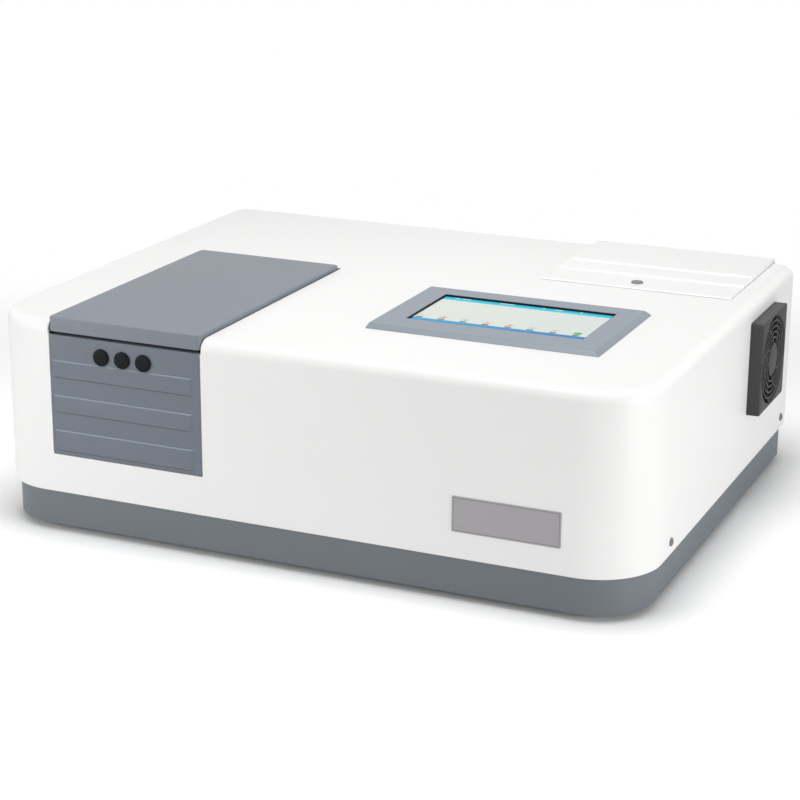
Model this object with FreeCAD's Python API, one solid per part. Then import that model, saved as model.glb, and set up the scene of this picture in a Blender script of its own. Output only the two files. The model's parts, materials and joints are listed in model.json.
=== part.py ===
"""Benchtop double-beam spectrophotometer, built as separate pieces.

Millimetres, +Z up, Z = 0 on the table.  The front looks along -Y and the fan is on +X.
Every piece is modelled about the housing's centre and moved by ORIGIN_SHIFT at export,
so that the origin lies under the centre of the whole object.
"""
import FreeCAD, Part
import math
import os
from FreeCAD import Vector

# ---------------------------------------------------------------- driving dimensions
# housing
HOUSING_W = 580.0
HOUSING_D = 456.0
HOUSING_H = 180.5
FOOT_H = 6.0
FOOT_R = 11.0
FOOT_INSET_X = 60.0
FOOT_INSET_Y = 58.0
FOOT_SCREW_R = 2.0
BASE_SHOW = 31.5
BASE_INSET = 4.5
BASE_LIP = 8.0
BASE_WALL = 3.0
BASE_FLOOR = 3.0
COVER_WALL = 3.0
FRONT_R = 54.0
BACK_R = 17.0
TOP_R = 10.0
COVER_SCREW_Z = 42.0
COVER_SCREW_FRONT = 77.0
COVER_SCREW_BACK = 32.0
COVER_SCREW_R = 1.9
LUG_W = 20.0
LUG_T = 5.0

# sample compartment lid and front panel
LID_W = 141.5
LID_D = 260.0
LID_H = 12.2
LID_LEFT = 65.0
LID_PROUD = 3.7
LID_WALL = 3.0
LID_CORNER_R = 3.5
LID_EDGE_R = 0.9
LID_GAP = 1.2
LID_REAR_GAP = 3.0
LINER_T = 2.5
LINER_POST_R = 4.0
SEAL_T = 5.7
PANEL_GAP = 3.0
PANEL_SIDE_GAP = 0.4
PANEL_H = 103.7
PANEL_T = 5.5
PANEL_CORNER_R = 3.0
BAND_PITCH = 15.2
BAND_TOP = 21.5
BAND_RISE = 0.9
BAND_SLOPE = 0.9
BAND_END_SLOPE = 3.0
BAND_MARGIN = 7.0
PLUG_R = 7.1
PLUG_PITCH = 19.8
PLUG_FIRST_X = 49.5
PLUG_DROP = 14.2
PLUG_PROUD = 1.2
PLUG_HOLE_R = 6.0

# lid hinge
HINGE_BACK = 8.0
HINGE_UP = 5.0
HINGE_KNUCKLE_R = 3.5
HINGE_PIN_R = 1.5
HINGE_KNUCKLE_W = 12.0
HINGE_SPREAD = 100.0
HINGE_LUG_W = 6.0

# sample chamber and its moving holder
CHAMBER_INSET = 3.0
CHAMBER_BACK_GAP = 9.0
CHAMBER_WALL = 3.0
CHAMBER_FLOOR_Z = 54.0
CHAMBER_LEG_R = 7.0
SAMPLE_FROM_FRONT = 108.0
REFERENCE_FROM_FRONT = 206.0
WINDOW_HOLE_R = 8.0
WINDOW_T = 3.0
GUIDE_ROD_R = 4.0
GUIDE_ROD_SPREAD = 56.0
GUIDE_ROD_Z = 69.0
ROD_BOSS_R = 7.0
ROD_BOSS_L = 6.0
LEAD_SCREW_R = 4.0
CARRIAGE_W = 78.0
CARRIAGE_H = 16.0
CELL_COUNT = 5
CELL_SIZE = 12.8
CELL_PITCH = 15.4
CELL_WALL = 3.0
CELL_DEPTH = 30.0
CELL_FLOOR_T = 4.0
BEAM_ABOVE_CELL_FLOOR = 15.0
BEAM_HOLE_R = 4.0
SMALL_MOTOR = 28.0
SMALL_MOTOR_L = 26.0

# optical bench
BENCH_GAP = 23.0
BENCH_T = 10.0
BENCH_MARGIN = 14.0
BENCH_MOUNT_R = 9.0
STAND_T = 6.0
STAND_W = 44.0
MIRROR_R = 22.0
MIRROR_T = 7.0
GRATING_FROM_RIGHT = 235.0
GRATING_FROM_BACK = 168.0
GRATING_SIZE = 36.0
GRATING_T = 9.0
TURNTABLE_R = 22.0
TURNTABLE_T = 8.0
SHAFT_R = 3.0
ENTRANCE_SLIT_FROM_RIGHT = 218.0
LIGHT_FROM_BACK = 108.0
EXIT_SLIT_FROM_BACK = 184.0
FOLD_GAP = 30.0
COLLIMATOR_GAP = 26.5
COLLIMATOR_PITCH = 62.0
WHEEL_FROM_RIGHT = 198.0
WHEEL_R = 28.0
WHEEL_T = 3.0
FILTER_ORBIT = 20.0
FILTER_R = 6.0
FILTER_COUNT = 6
SOURCE_MIRROR_FROM_RIGHT = 152.0
SOURCE_MIRROR_SIZE = 26.0
SOURCE_MIRROR_T = 3.0
LAMP_PLATE_T = 4.0
DEUTERIUM_FROM_RIGHT = 75.0
DEUTERIUM_FROM_BACK = 78.0
DEUTERIUM_R = 15.0
DEUTERIUM_H = 62.0
HALOGEN_FROM_RIGHT = 122.0
HALOGEN_FROM_BACK = 50.0
HALOGEN_R = 5.5
HALOGEN_H = 32.0
SOCKET_H = 14.0
DETECTOR_W = 36.0
DETECTOR_T = 30.0
DETECTOR_H = 34.0
DETECTOR_GAP = 8.0
BOARD_T = 1.6

# screen
BEZEL_W = 200.8
BEZEL_D = 137.1
BEZEL_PROUD = 3.5
BEZEL_LIP = 1.8
BEZEL_BEVEL_W = 5.5
BEZEL_BACK_BEVEL_W = 1.2
BEZEL_BEVEL_DROP = 3.0
BEZEL_LEFT = 311.0
BEZEL_FRONT = 89.4
BEZEL_CORNER = 1.5
BEZEL_SKIRT = 4.5
WINDOW_W = 154.1
WINDOW_D = 85.9
WINDOW_LEFT = 22.8
WINDOW_FRONT = 31.1
GLASS_LAP = 4.0
GLASS_T = 1.6
LCD_T = 6.0
LCD_LAP = 4.5

# lamp hatch
HATCH_W = 174.0
HATCH_RIGHT = 21.0
HATCH_D = 153.0
HATCH_STEPS = (0.0, 40.0, 70.0)
HATCH_RISE = 1.5
HATCH_SLOPE = 1.2
HATCH_SIDE_STEP = 2.5
HATCH_LIP = 2.0
HATCH_LIP_H = 7.0
HATCH_HOLE_SIDE = 20.0
HATCH_HOLE_FRONT = 37.0
HATCH_HOLE_BACK = 20.0
HATCH_SCREW_X = 84.0
HATCH_SCREW_Y = 18.0
HATCH_SCREW_R = 2.5
HATCH_HEAD_R = 5.3
HATCH_HEAD_T = 1.2

# fan
FAN_SIZE = 80.0
FAN_T = 25.0
FAN_FROM_BACK = 121.0
FAN_UP = 123.0
FAN_DUCT_R = 38.0
FAN_HUB_R = 15.0
FAN_BLADE_R = 36.3
FAN_BLADES = 7
FAN_BLADE_T = 1.8
FAN_PITCH = 38.0
FAN_HOLE_PITCH = 71.5
FAN_SCREW_R = 2.0
GUARD_SIZE = 82.5
GUARD_OUT = 11.2
GUARD_EDGE = 3.5
GUARD_GRILLE_T = 2.5
GUARD_DISC_R = 14.5
GUARD_MOUTH_R = 39.6
GUARD_MOUTH_DEPTH = 5.0
GUARD_RINGS = 4
GUARD_RING_W = 2.0
GUARD_SPOKES = 8
GUARD_SPOKE_W = 2.2

# electronics and rear connections
SUPPLY_SIZE = (128.0, 96.0, 38.0)
SUPPLY_FROM_RIGHT = 200.0
SUPPLY_FROM_FRONT = 28.0
MAIN_BOARD_SIZE = (220.0, 78.0)
MAIN_BOARD_FROM_RIGHT = 262.0
MAIN_BOARD_FROM_FRONT = 134.0
STANDOFF_H = 10.0
STANDOFF_R = 3.0
REAR_PANEL_W = 190.0
REAR_PANEL_H = 72.0
REAR_PANEL_FROM_LEFT = 65.0
REAR_PANEL_T = 2.0
REAR_PANEL_FRAME = 7.0
REAR_ROW_UP = 36.0
INLET_SIZE = (48.0, 28.0)
INLET_CAVITY = (24.5, 16.5)
INLET_CAVITY_DEPTH = 16.0
INLET_BODY_D = 24.0
INLET_X = 34.0
SWITCH_SIZE = (21.0, 26.0)
SWITCH_X = 80.0
SWITCH_TILT = 8.0
SWITCH_DEPTH = 18.0
FUSE_X = 112.0
FUSE_R = 7.5
PORT_X = 142.0
PORT_SIZE = (16.0, 14.0)
PORT_CAVITY = (11.8, 8.6)
PORT_DEPTH = 14.0

# nameplate
PLATE_W = 89.6
PLATE_H = 29.4
PLATE_T = 0.6
PLATE_RIGHT = 64.0
PLATE_UP = 53.5

# fits
RUNNING = 0.05
SOCKET_FIT = 0.1
PART_GAP = 0.3

# ---------------------------------------------------------------- shared planes
X_RIGHT = HOUSING_W / 2
X_LEFT = -X_RIGHT
Y_FRONT = -HOUSING_D / 2
Y_BACK = HOUSING_D / 2
BASE_Z = FOOT_H
FLOOR_Z = BASE_Z + BASE_FLOOR
COVER_Z = BASE_Z + BASE_SHOW
LIP_Z = COVER_Z + BASE_LIP
TOP_Z = BASE_Z + HOUSING_H
ROOF_Z = TOP_Z - COVER_WALL
ORIGIN_SHIFT = Vector(-GUARD_OUT / 2, 0, 0)

LID_X0 = X_LEFT + LID_LEFT
LID_X1 = LID_X0 + LID_W
LID_Y1 = Y_FRONT + LID_D
LID_Z1 = TOP_Z + LID_PROUD
LID_Z0 = LID_Z1 - LID_H
HINGE_Y = LID_Y1 - HINGE_BACK
HINGE_Z = LID_Z0 + HINGE_UP
PANEL_Z1 = LID_Z0 - PANEL_GAP
PANEL_Z0 = PANEL_Z1 - PANEL_H

SAMPLE_Y = Y_FRONT + SAMPLE_FROM_FRONT
REFERENCE_Y = Y_FRONT + REFERENCE_FROM_FRONT
LIGHT_Y = Y_BACK - LIGHT_FROM_BACK
BENCH_Z0 = FLOOR_Z + BENCH_GAP
BENCH_Z1 = BENCH_Z0 + BENCH_T

CHAMBER_X0 = LID_X0 + CHAMBER_INSET
CHAMBER_X1 = LID_X1 - CHAMBER_INSET
CHAMBER_XC = (CHAMBER_X0 + CHAMBER_X1) / 2
CHAMBER_Y0 = Y_FRONT + PANEL_T
CHAMBER_Y1 = HINGE_Y - CHAMBER_BACK_GAP
CHAMBER_Z0 = BASE_Z + CHAMBER_FLOOR_Z
CHAMBER_Z1 = LID_Z0 - PART_GAP - SEAL_T
CHAMBER_FLOOR_TOP = CHAMBER_Z0 + CHAMBER_WALL
ROD_Z = BASE_Z + GUIDE_ROD_Z
CARRIAGE_Z0 = ROD_Z - CARRIAGE_H / 2
CARRIAGE_Z1 = ROD_Z + CARRIAGE_H / 2
CELL_FLOOR_Z = CARRIAGE_Z1 + CELL_FLOOR_T
BEAM_Z = CELL_FLOOR_Z + BEAM_ABOVE_CELL_FLOOR
CELL_TOP_Z = CELL_FLOOR_Z + CELL_DEPTH
CELL_BLOCK_W = CELL_SIZE + 2 * CELL_WALL
CARRIAGE_L = (CELL_COUNT - 1) * CELL_PITCH + CELL_BLOCK_W

GRATING_X = X_RIGHT - GRATING_FROM_RIGHT
GRATING_Y = Y_BACK - GRATING_FROM_BACK
ENTRANCE_SLIT_X = X_RIGHT - ENTRANCE_SLIT_FROM_RIGHT
EXIT_SLIT_Y = Y_BACK - EXIT_SLIT_FROM_BACK
FOLD_X = CHAMBER_X1 + FOLD_GAP
COLLIMATOR_X = CHAMBER_X1 + COLLIMATOR_GAP
WHEEL_X = X_RIGHT - WHEEL_FROM_RIGHT
SOURCE_MIRROR_X = X_RIGHT - SOURCE_MIRROR_FROM_RIGHT
DEUTERIUM_X = X_RIGHT - DEUTERIUM_FROM_RIGHT
DEUTERIUM_Y = Y_BACK - DEUTERIUM_FROM_BACK
HALOGEN_X = X_RIGHT - HALOGEN_FROM_RIGHT
HALOGEN_Y = Y_BACK - HALOGEN_FROM_BACK

BEZEL_X0 = X_LEFT + BEZEL_LEFT
BEZEL_Y0 = Y_FRONT + BEZEL_FRONT
BEZEL_Z1 = TOP_Z + BEZEL_PROUD
WINDOW_X0 = BEZEL_X0 + WINDOW_LEFT
WINDOW_Y0 = BEZEL_Y0 + WINDOW_FRONT
GLASS_Z1 = BEZEL_Z1 - BEZEL_LIP
GLASS_Z0 = GLASS_Z1 - GLASS_T
LCD_Z0 = GLASS_Z0 - LCD_T

HATCH_X1 = X_RIGHT - HATCH_RIGHT
HATCH_X0 = HATCH_X1 - HATCH_W
HATCH_Y0 = Y_BACK - HATCH_D
FAN_Y = Y_BACK - FAN_FROM_BACK
FAN_ZC = BASE_Z + FAN_UP
FAN_X1 = X_RIGHT - COVER_WALL
FAN_X0 = FAN_X1 - FAN_T

SUPPLY_X = X_RIGHT - SUPPLY_FROM_RIGHT
SUPPLY_Y = Y_FRONT + SUPPLY_FROM_FRONT
MAIN_BOARD_X = X_RIGHT - MAIN_BOARD_FROM_RIGHT
MAIN_BOARD_Y = Y_FRONT + MAIN_BOARD_FROM_FRONT
REAR_PANEL_X = X_LEFT + REAR_PANEL_FROM_LEFT
REAR_Y1 = Y_BACK - COVER_WALL
REAR_Y0 = REAR_Y1 - REAR_PANEL_T
REAR_ROW_Z = LIP_Z + REAR_ROW_UP


# ---------------------------------------------------------------- helpers
def block(x0, x1, y0, y1, z0, z1):
    """Box between two planes on each axis."""
    return Part.makeBox(x1 - x0, y1 - y0, z1 - z0, Vector(x0, y0, z0))


def rod(radius, start, end):
    """Cylinder from one point to another."""
    foot = Vector(*start)
    run = Vector(*end) - foot
    return Part.makeCylinder(radius, run.Length, foot, run)


def join(shapes):
    """One solid from several that touch or overlap."""
    return shapes[0].multiFuse(shapes[1:]).removeSplitter()


def aimed(shape, point, direction):
    """Turn a shape built along +Z to a direction and move it to a point."""
    turn = FreeCAD.Rotation(Vector(0, 0, 1), Vector(*direction))
    moved = shape.copy()
    moved.Placement = FreeCAD.Placement(Vector(*point), turn)
    return moved


def plan_prism(x0, x1, y0, y1, r_front, r_back, z0, z1):
    """Upright prism with its own corner radius at the front and at the back."""
    corners = [(x0, y0, r_front), (x1, y0, r_front), (x1, y1, r_back), (x0, y1, r_back)]
    entries = [(0, 1), (-1, 0), (0, -1), (1, 0)]
    edges = []
    last = None
    first = None
    for (x, y, r), (ex, ey), (fx, fy) in zip(corners, entries, entries[1:] + entries[:1]):
        enter = Vector(x + r * ex, y + r * ey, z0)
        leave = Vector(x - r * fx, y - r * fy, z0)
        centre = enter + leave - Vector(x, y, z0)
        middle = centre + (Vector(x, y, z0) - centre).normalize() * r
        if last:
            edges.append(Part.LineSegment(last, enter).toShape())
        edges.append(Part.Arc(enter, middle, leave).toShape())
        first = first or enter
        last = leave
    edges.append(Part.LineSegment(last, first).toShape())
    return Part.Face(Part.Wire(edges)).extrude(Vector(0, 0, z1 - z0))


def edges_at(shape, test):
    """Edges whose every vertex meets a test."""
    return [e for e in shape.Edges if all(test(v.Point) for v in e.Vertexes)]


def pan_screw(point, direction, head_r, head_h, shank_r, shank_l):
    """Pan-head screw with a cross recess, its head resting on the point."""
    head = Part.makeCylinder(head_r, head_h)
    head = head.makeFillet(head_h * 0.45, edges_at(head, lambda p: p.z > head_h / 2))
    arm = head_r * 0.6
    width = head_r * 0.22
    for half_x, half_y in ((arm, width), (width, arm)):
        head = head.cut(block(-half_x, half_x, -half_y, half_y, head_h * 0.5, head_h))
    shank = Part.makeCylinder(shank_r, shank_l, Vector(0, 0, -shank_l))
    return aimed(join([head, shank]), point, direction)


def stand(x, y, along, width, height, thickness):
    """Upright plate on the bench with a foot, its normal along X or Y."""
    half = width / 2
    if along == "x":
        plate = block(x, x + thickness, y - half, y + half, BENCH_Z1, height)
        foot = block(x - thickness, x + 2 * thickness, y - half, y + half,
                     BENCH_Z1, BENCH_Z1 + thickness)
    else:
        plate = block(x - half, x + half, y, y + thickness, BENCH_Z1, height)
        foot = block(x - half, x + half, y - thickness, y + 2 * thickness,
                     BENCH_Z1, BENCH_Z1 + thickness)
    return join([plate, foot])


# ---------------------------------------------------------------- housing
def foot_places():
    """Centres of the four feet."""
    xs = (X_LEFT + FOOT_INSET_X, X_RIGHT - FOOT_INSET_X)
    ys = (Y_FRONT + FOOT_INSET_Y, Y_BACK - FOOT_INSET_Y)
    return [(x, y) for x in xs for y in ys]


def side_screw_places():
    """Points and outward directions of the four cover screws."""
    ys = (Y_FRONT + COVER_SCREW_FRONT, Y_BACK - COVER_SCREW_BACK)
    z = BASE_Z + COVER_SCREW_Z
    return [((side * X_RIGHT, y, z), (side, 0, 0)) for side in (-1, 1) for y in ys]


def base_outline(grow, z0, z1):
    """Prism of the base's outline, grown outwards."""
    inset = BASE_INSET - grow
    return plan_prism(X_LEFT + inset, X_RIGHT - inset, Y_FRONT + inset, Y_BACK - inset,
                      FRONT_R - inset, BACK_R - inset, z0, z1)


def make_base_tray():
    """Lower tray with screw lugs for the cover and bosses for the feet."""
    tray = base_outline(0, BASE_Z, LIP_Z)
    tray = tray.cut(base_outline(-BASE_WALL, FLOOR_Z, LIP_Z + 1))
    adds = []
    cuts = []
    lug_x1 = X_RIGHT - COVER_WALL - PART_GAP
    lug_half = LUG_W / 2
    for (x, y, z), (side, _, _) in side_screw_places():
        low, high = sorted((side * (lug_x1 - LUG_T), side * lug_x1))
        adds.append(block(low, high, y - lug_half, y + lug_half, COVER_Z + 1, z + lug_half))
        cuts.append(rod(COVER_SCREW_R + RUNNING, (x, y, z), (x - side * 3 * LUG_T, y, z)))
    for x, y in foot_places():
        adds.append(rod(FOOT_R / 2, (x, y, BASE_Z), (x, y, FLOOR_Z + FOOT_H)))
        cuts.append(rod(FOOT_SCREW_R + RUNNING, (x, y, BASE_Z - 1), (x, y, FLOOR_Z + FOOT_H)))
    return join([tray] + adds).cut(Part.makeCompound(cuts))


def make_rubber_feet():
    """Four feet, each with a pocket for its screw head."""
    feet = []
    for x, y in foot_places():
        foot = rod(FOOT_R, (x, y, 0), (x, y, FOOT_H))
        foot = foot.makeFillet(FOOT_H * 0.2, edges_at(foot, lambda p: p.z < FOOT_H / 2))
        foot = foot.cut(rod(FOOT_R * 0.5, (x, y, 0), (x, y, FOOT_H / 2)))
        feet.append(foot.cut(rod(FOOT_SCREW_R + RUNNING, (x, y, 0), (x, y, FOOT_H))))
    return Part.makeCompound(feet)


def make_foot_screws():
    """Screws that hold the feet, heads down in the pockets."""
    head_h = FOOT_H / 2 - 1
    return Part.makeCompound([
        pan_screw((x, y, FOOT_H / 2), (0, 0, -1), FOOT_R * 0.36, head_h, FOOT_SCREW_R,
                  FOOT_H + BASE_FLOOR) for x, y in foot_places()])


def cover_solid(grow):
    """Outside of the upper cover as one solid, grown outwards."""
    solid = plan_prism(X_LEFT - grow, X_RIGHT + grow, Y_FRONT - grow, Y_BACK + grow,
                       FRONT_R + grow, BACK_R + grow, COVER_Z, TOP_Z + grow)
    return solid.makeFillet(TOP_R + grow, edges_at(solid, lambda p: p.z > TOP_Z - 5))


def fan_screw_places():
    """Fan screw positions in the side wall, as (y, z)."""
    half = FAN_HOLE_PITCH / 2
    return [(FAN_Y + a * half, FAN_ZC + b * half) for a in (-1, 1) for b in (-1, 1)]


def hatch_hole(shrink, z0, z1):
    """Lamp opening in the cover's roof, or a smaller block inside it."""
    return block(HATCH_X0 + HATCH_HOLE_SIDE + shrink, HATCH_X1 - HATCH_HOLE_SIDE - shrink,
                 HATCH_Y0 + HATCH_HOLE_FRONT + shrink, Y_BACK - HATCH_HOLE_BACK - shrink,
                 z0, z1)


def bezel_skirt(grow, z0, z1):
    """Block that the screen frame's skirt fills in the cover's roof."""
    edge = GLASS_LAP + BEZEL_SKIRT + grow
    return block(WINDOW_X0 - edge, WINDOW_X0 + WINDOW_W + edge,
                 WINDOW_Y0 - edge, WINDOW_Y0 + WINDOW_D + edge, z0, z1)


def hatch_screw_place():
    """Axis of the hatch's quarter-turn screw, as (x, y)."""
    return HATCH_X0 + HATCH_SCREW_X, HATCH_Y0 + HATCH_SCREW_Y


def rear_opening():
    """Opening in the cover's back wall that shows the rear panel."""
    x0 = REAR_PANEL_X + REAR_PANEL_FRAME
    x1 = REAR_PANEL_X + REAR_PANEL_W - REAR_PANEL_FRAME
    return block(x0, x1, REAR_Y1 - 1, Y_BACK + 1,
                 LIP_Z + REAR_PANEL_FRAME, LIP_Z + REAR_PANEL_H - REAR_PANEL_FRAME)


def make_upper_cover():
    """Upper shell with its openings."""
    shell = cover_solid(0).cut(cover_solid(-COVER_WALL))
    shell = shell.cut(block(X_LEFT, X_RIGHT, Y_FRONT, Y_BACK, COVER_Z - 1, COVER_Z)
                      .common(base_outline(0, COVER_Z - 1, COVER_Z)))
    inner_low = plan_prism(X_LEFT + COVER_WALL, X_RIGHT - COVER_WALL, Y_FRONT + COVER_WALL,
                           Y_BACK - COVER_WALL, FRONT_R - COVER_WALL, BACK_R - COVER_WALL,
                           COVER_Z - 1, COVER_Z + COVER_WALL)
    hatch_x, hatch_y = hatch_screw_place()
    through = COVER_WALL + 1
    cuts = [inner_low, bezel_skirt(PART_GAP, ROOF_Z - 1, TOP_Z + 1),
            hatch_hole(0, ROOF_Z - 1, TOP_Z + 1), rear_opening()]
    cuts.append(block(LID_X0 - LID_GAP, LID_X1 + LID_GAP, Y_FRONT - 1, LID_Y1 + LID_REAR_GAP,
                      PANEL_Z1, TOP_Z + 1))
    cuts.append(block(LID_X0 - PANEL_SIDE_GAP, LID_X1 + PANEL_SIDE_GAP,
                      Y_FRONT - 1, Y_FRONT + through, PANEL_Z0 - PANEL_SIDE_GAP, TOP_Z))
    cuts.append(rod(HATCH_SCREW_R + RUNNING, (hatch_x, hatch_y, ROOF_Z - 1),
                    (hatch_x, hatch_y, TOP_Z + 1)))
    cuts.append(rod(FAN_DUCT_R, (FAN_X1 - 1, FAN_Y, FAN_ZC), (X_RIGHT + 1, FAN_Y, FAN_ZC)))
    for y, z in fan_screw_places():
        cuts.append(rod(FAN_SCREW_R + RUNNING, (FAN_X1 - 1, y, z), (X_RIGHT + 1, y, z)))
    for (x, y, z), (side, _, _) in side_screw_places():
        cuts.append(rod(COVER_SCREW_R + RUNNING, (x + side, y, z), (x - side * through, y, z)))
    return shell.cut(Part.makeCompound(cuts))


def make_cover_screws():
    """Four screws low on the sides."""
    return Part.makeCompound([
        pan_screw(point, direction, COVER_SCREW_R * 1.9, COVER_SCREW_R, COVER_SCREW_R,
                  COVER_WALL + LUG_T) for point, direction in side_screw_places()])


def make_nameplate():
    """Bare plate on the front."""
    x1 = X_RIGHT - PLATE_RIGHT
    z0 = BASE_Z + PLATE_UP
    return block(x1 - PLATE_W, x1, Y_FRONT - PLATE_T, Y_FRONT, z0, z0 + PLATE_H)


# ---------------------------------------------------------------- lid and front panel
def hinge_centres():
    """X of the two hinges."""
    return [CHAMBER_XC + side * HINGE_SPREAD / 2 for side in (-1, 1)]


def liner_posts():
    """Places of the posts under the lid's top that carry the liner."""
    inset = LID_WALL + 2 * LINER_POST_R
    xs = (LID_X0 + inset, LID_X1 - inset)
    ys = (Y_FRONT + inset, (Y_FRONT + CHAMBER_Y1) / 2, CHAMBER_Y1 - inset)
    return [(x, y) for x in xs for y in ys]


def lid_outside():
    """Solid of the lid: a slab with round corners in plan and a small round along its top."""
    slab = plan_prism(LID_X0, LID_X1, Y_FRONT, LID_Y1, LID_CORNER_R, LID_CORNER_R,
                      LID_Z0, LID_Z1)
    return slab.makeFillet(LID_EDGE_R, edges_at(slab, lambda p: p.z > LID_Z1 - LID_EDGE_R))


def make_sample_lid():
    """Lid shell with hinge lugs and liner posts."""
    inner_z = LID_Z1 - LID_WALL
    lid = lid_outside()
    hollow = block(LID_X0 + LID_WALL, LID_X1 - LID_WALL, Y_FRONT + LID_WALL,
                   LID_Y1 - LID_WALL, LID_Z0 - 1, inner_z)
    lid = lid.cut(hollow)
    adds = [rod(LINER_POST_R, (x, y, LID_Z0 + LINER_T), (x, y, inner_z + LID_WALL / 2))
            for x, y in liner_posts()]
    cuts = []
    for x in hinge_centres():
        for side in (-1, 1):
            near = x + side * (HINGE_KNUCKLE_W / 2 + PART_GAP)
            far = near + side * HINGE_LUG_W
            low, high = sorted((near, far))
            adds.append(rod(HINGE_KNUCKLE_R, (low, HINGE_Y, HINGE_Z), (high, HINGE_Y, HINGE_Z)))
            adds.append(block(low, high, HINGE_Y - HINGE_KNUCKLE_R, HINGE_Y + HINGE_KNUCKLE_R,
                              HINGE_Z, inner_z + LID_WALL / 2))
        reach = HINGE_KNUCKLE_W / 2 + 2 * PART_GAP + HINGE_LUG_W
        cuts.append(rod(HINGE_PIN_R + RUNNING, (x - reach, HINGE_Y, HINGE_Z),
                        (x + reach, HINGE_Y, HINGE_Z)))
        half = HINGE_KNUCKLE_W / 2 + PART_GAP
        cuts.append(block(x - half, x + half, LID_Y1 - LID_WALL - 1, LID_Y1 + 1,
                          LID_Z0 - 1, inner_z))
    return join([lid] + adds).cut(Part.makeCompound(cuts))


def make_lid_liner():
    """Flat inner plate of the lid."""
    gap = LID_WALL + PART_GAP
    return block(LID_X0 + gap, LID_X1 - gap, Y_FRONT + gap, CHAMBER_Y1 + PART_GAP,
                 LID_Z0, LID_Z0 + LINER_T)


def make_lid_seal():
    """Foam seal round the rim of the chamber."""
    outer = block(CHAMBER_X0, CHAMBER_X1, CHAMBER_Y0, CHAMBER_Y1, CHAMBER_Z1, CHAMBER_Z1 + SEAL_T)
    return outer.cut(block(CHAMBER_X0 + CHAMBER_WALL, CHAMBER_X1 - CHAMBER_WALL,
                           CHAMBER_Y0 + CHAMBER_WALL, CHAMBER_Y1 - CHAMBER_WALL,
                           CHAMBER_Z1 - 1, CHAMBER_Z1 + SEAL_T + 1))


def make_hinge_brackets():
    """Two brackets on the chamber's back wall that carry the lid's pins."""
    parts = []
    neck_y1 = HINGE_Y + (LID_Z1 - HINGE_Z) - LID_WALL - 2 * PART_GAP
    for x in hinge_centres():
        half = HINGE_KNUCKLE_W / 2
        knuckle = rod(HINGE_KNUCKLE_R, (x - half, HINGE_Y, HINGE_Z), (x + half, HINGE_Y, HINGE_Z))
        neck = block(x - half, x + half, HINGE_Y - HINGE_KNUCKLE_R, neck_y1,
                     CHAMBER_Z1 - 3 * LID_H, HINGE_Z)
        shoe = block(x - half, x + half, CHAMBER_Y1, neck_y1,
                     CHAMBER_Z1 - 3 * LID_H, CHAMBER_Z1 - LID_H)
        bored = join([knuckle, neck, shoe])
        parts.append(bored.cut(rod(HINGE_PIN_R + SOCKET_FIT / 2, (x - half - 1, HINGE_Y, HINGE_Z),
                                   (x + half + 1, HINGE_Y, HINGE_Z))))
    return Part.makeCompound(parts)


def make_hinge_pins():
    """Pins of the two lid hinges."""
    reach = HINGE_KNUCKLE_W / 2 + PART_GAP + HINGE_LUG_W
    return Part.makeCompound([rod(HINGE_PIN_R, (x - reach, HINGE_Y, HINGE_Z),
                                  (x + reach, HINGE_Y, HINGE_Z)) for x in hinge_centres()])


def plug_places():
    """X of the three plugs; they share one height."""
    return [LID_X0 + PLUG_FIRST_X + i * PLUG_PITCH for i in range(3)]


def raised_band(x0, x1, z0, z1, face_y):
    """Band on the front panel with sloped edges and a longer slope at its right end."""
    foot = [Vector(x, face_y, z) for x, z in ((x0, z0), (x1, z0), (x1, z1), (x0, z1))]
    near, far = x0 + BAND_SLOPE, x1 - BAND_END_SLOPE
    low, high = z0 + BAND_SLOPE, z1 - BAND_SLOPE
    face = [Vector(x, face_y - BAND_RISE, z)
            for x, z in ((near, low), (far, low), (far, high), (near, high))]
    return Part.makeLoft([Part.makePolygon(foot + foot[:1]),
                          Part.makePolygon(face + face[:1])], True, True)


def make_front_panel():
    """Front wall of the compartment with its raised bands and plug holes."""
    z_plug = PANEL_Z1 - PLUG_DROP
    face_y = Y_FRONT + BAND_RISE / 2
    panel = block(LID_X0, LID_X1, face_y, Y_FRONT + PANEL_T, PANEL_Z0, PANEL_Z1)
    corners = [e for e in panel.Edges if abs(e.Vertexes[0].Z - e.Vertexes[-1].Z) < 1e-6
               and e.Vertexes[0].Z < PANEL_Z0 + 1
               and abs(e.Vertexes[0].X - e.Vertexes[-1].X) < 1e-6]
    panel = panel.makeFillet(PANEL_CORNER_R, corners)
    x0 = LID_X0 + BAND_MARGIN / 3
    x1 = LID_X1 - BAND_MARGIN
    bands = []
    for step in (0, 2):
        top = PANEL_Z1 - BAND_TOP - step * BAND_PITCH
        bands.append(raised_band(x0, x1, top - BAND_PITCH, top, face_y))
    low_top = PANEL_Z1 - BAND_TOP - 4 * BAND_PITCH
    bands.append(raised_band(x0, x1, PANEL_Z0 + PANEL_CORNER_R, low_top, face_y))
    holes = [rod(PLUG_HOLE_R + SOCKET_FIT, (x, Y_FRONT - 2, z_plug),
                 (x, Y_FRONT + PANEL_T + 1, z_plug)) for x in plug_places()]
    return join([panel] + bands).cut(Part.makeCompound(holes))


def make_port_plugs():
    """Three round plugs that close the tube ports."""
    z = PANEL_Z1 - PLUG_DROP
    face_y = Y_FRONT + BAND_RISE / 2
    plugs = []
    for x in plug_places():
        head = rod(PLUG_R, (x, face_y - PLUG_PROUD - BAND_RISE, z), (x, face_y - BAND_RISE, z))
        neck = rod(PLUG_HOLE_R, (x, face_y - BAND_RISE, z), (x, CHAMBER_Y0 + CHAMBER_WALL, z))
        collar = rod(PLUG_R, (x, face_y - BAND_RISE, z), (x, face_y, z))
        plugs.append(join([head, collar, neck]))
    return Part.makeCompound(plugs)


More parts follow.
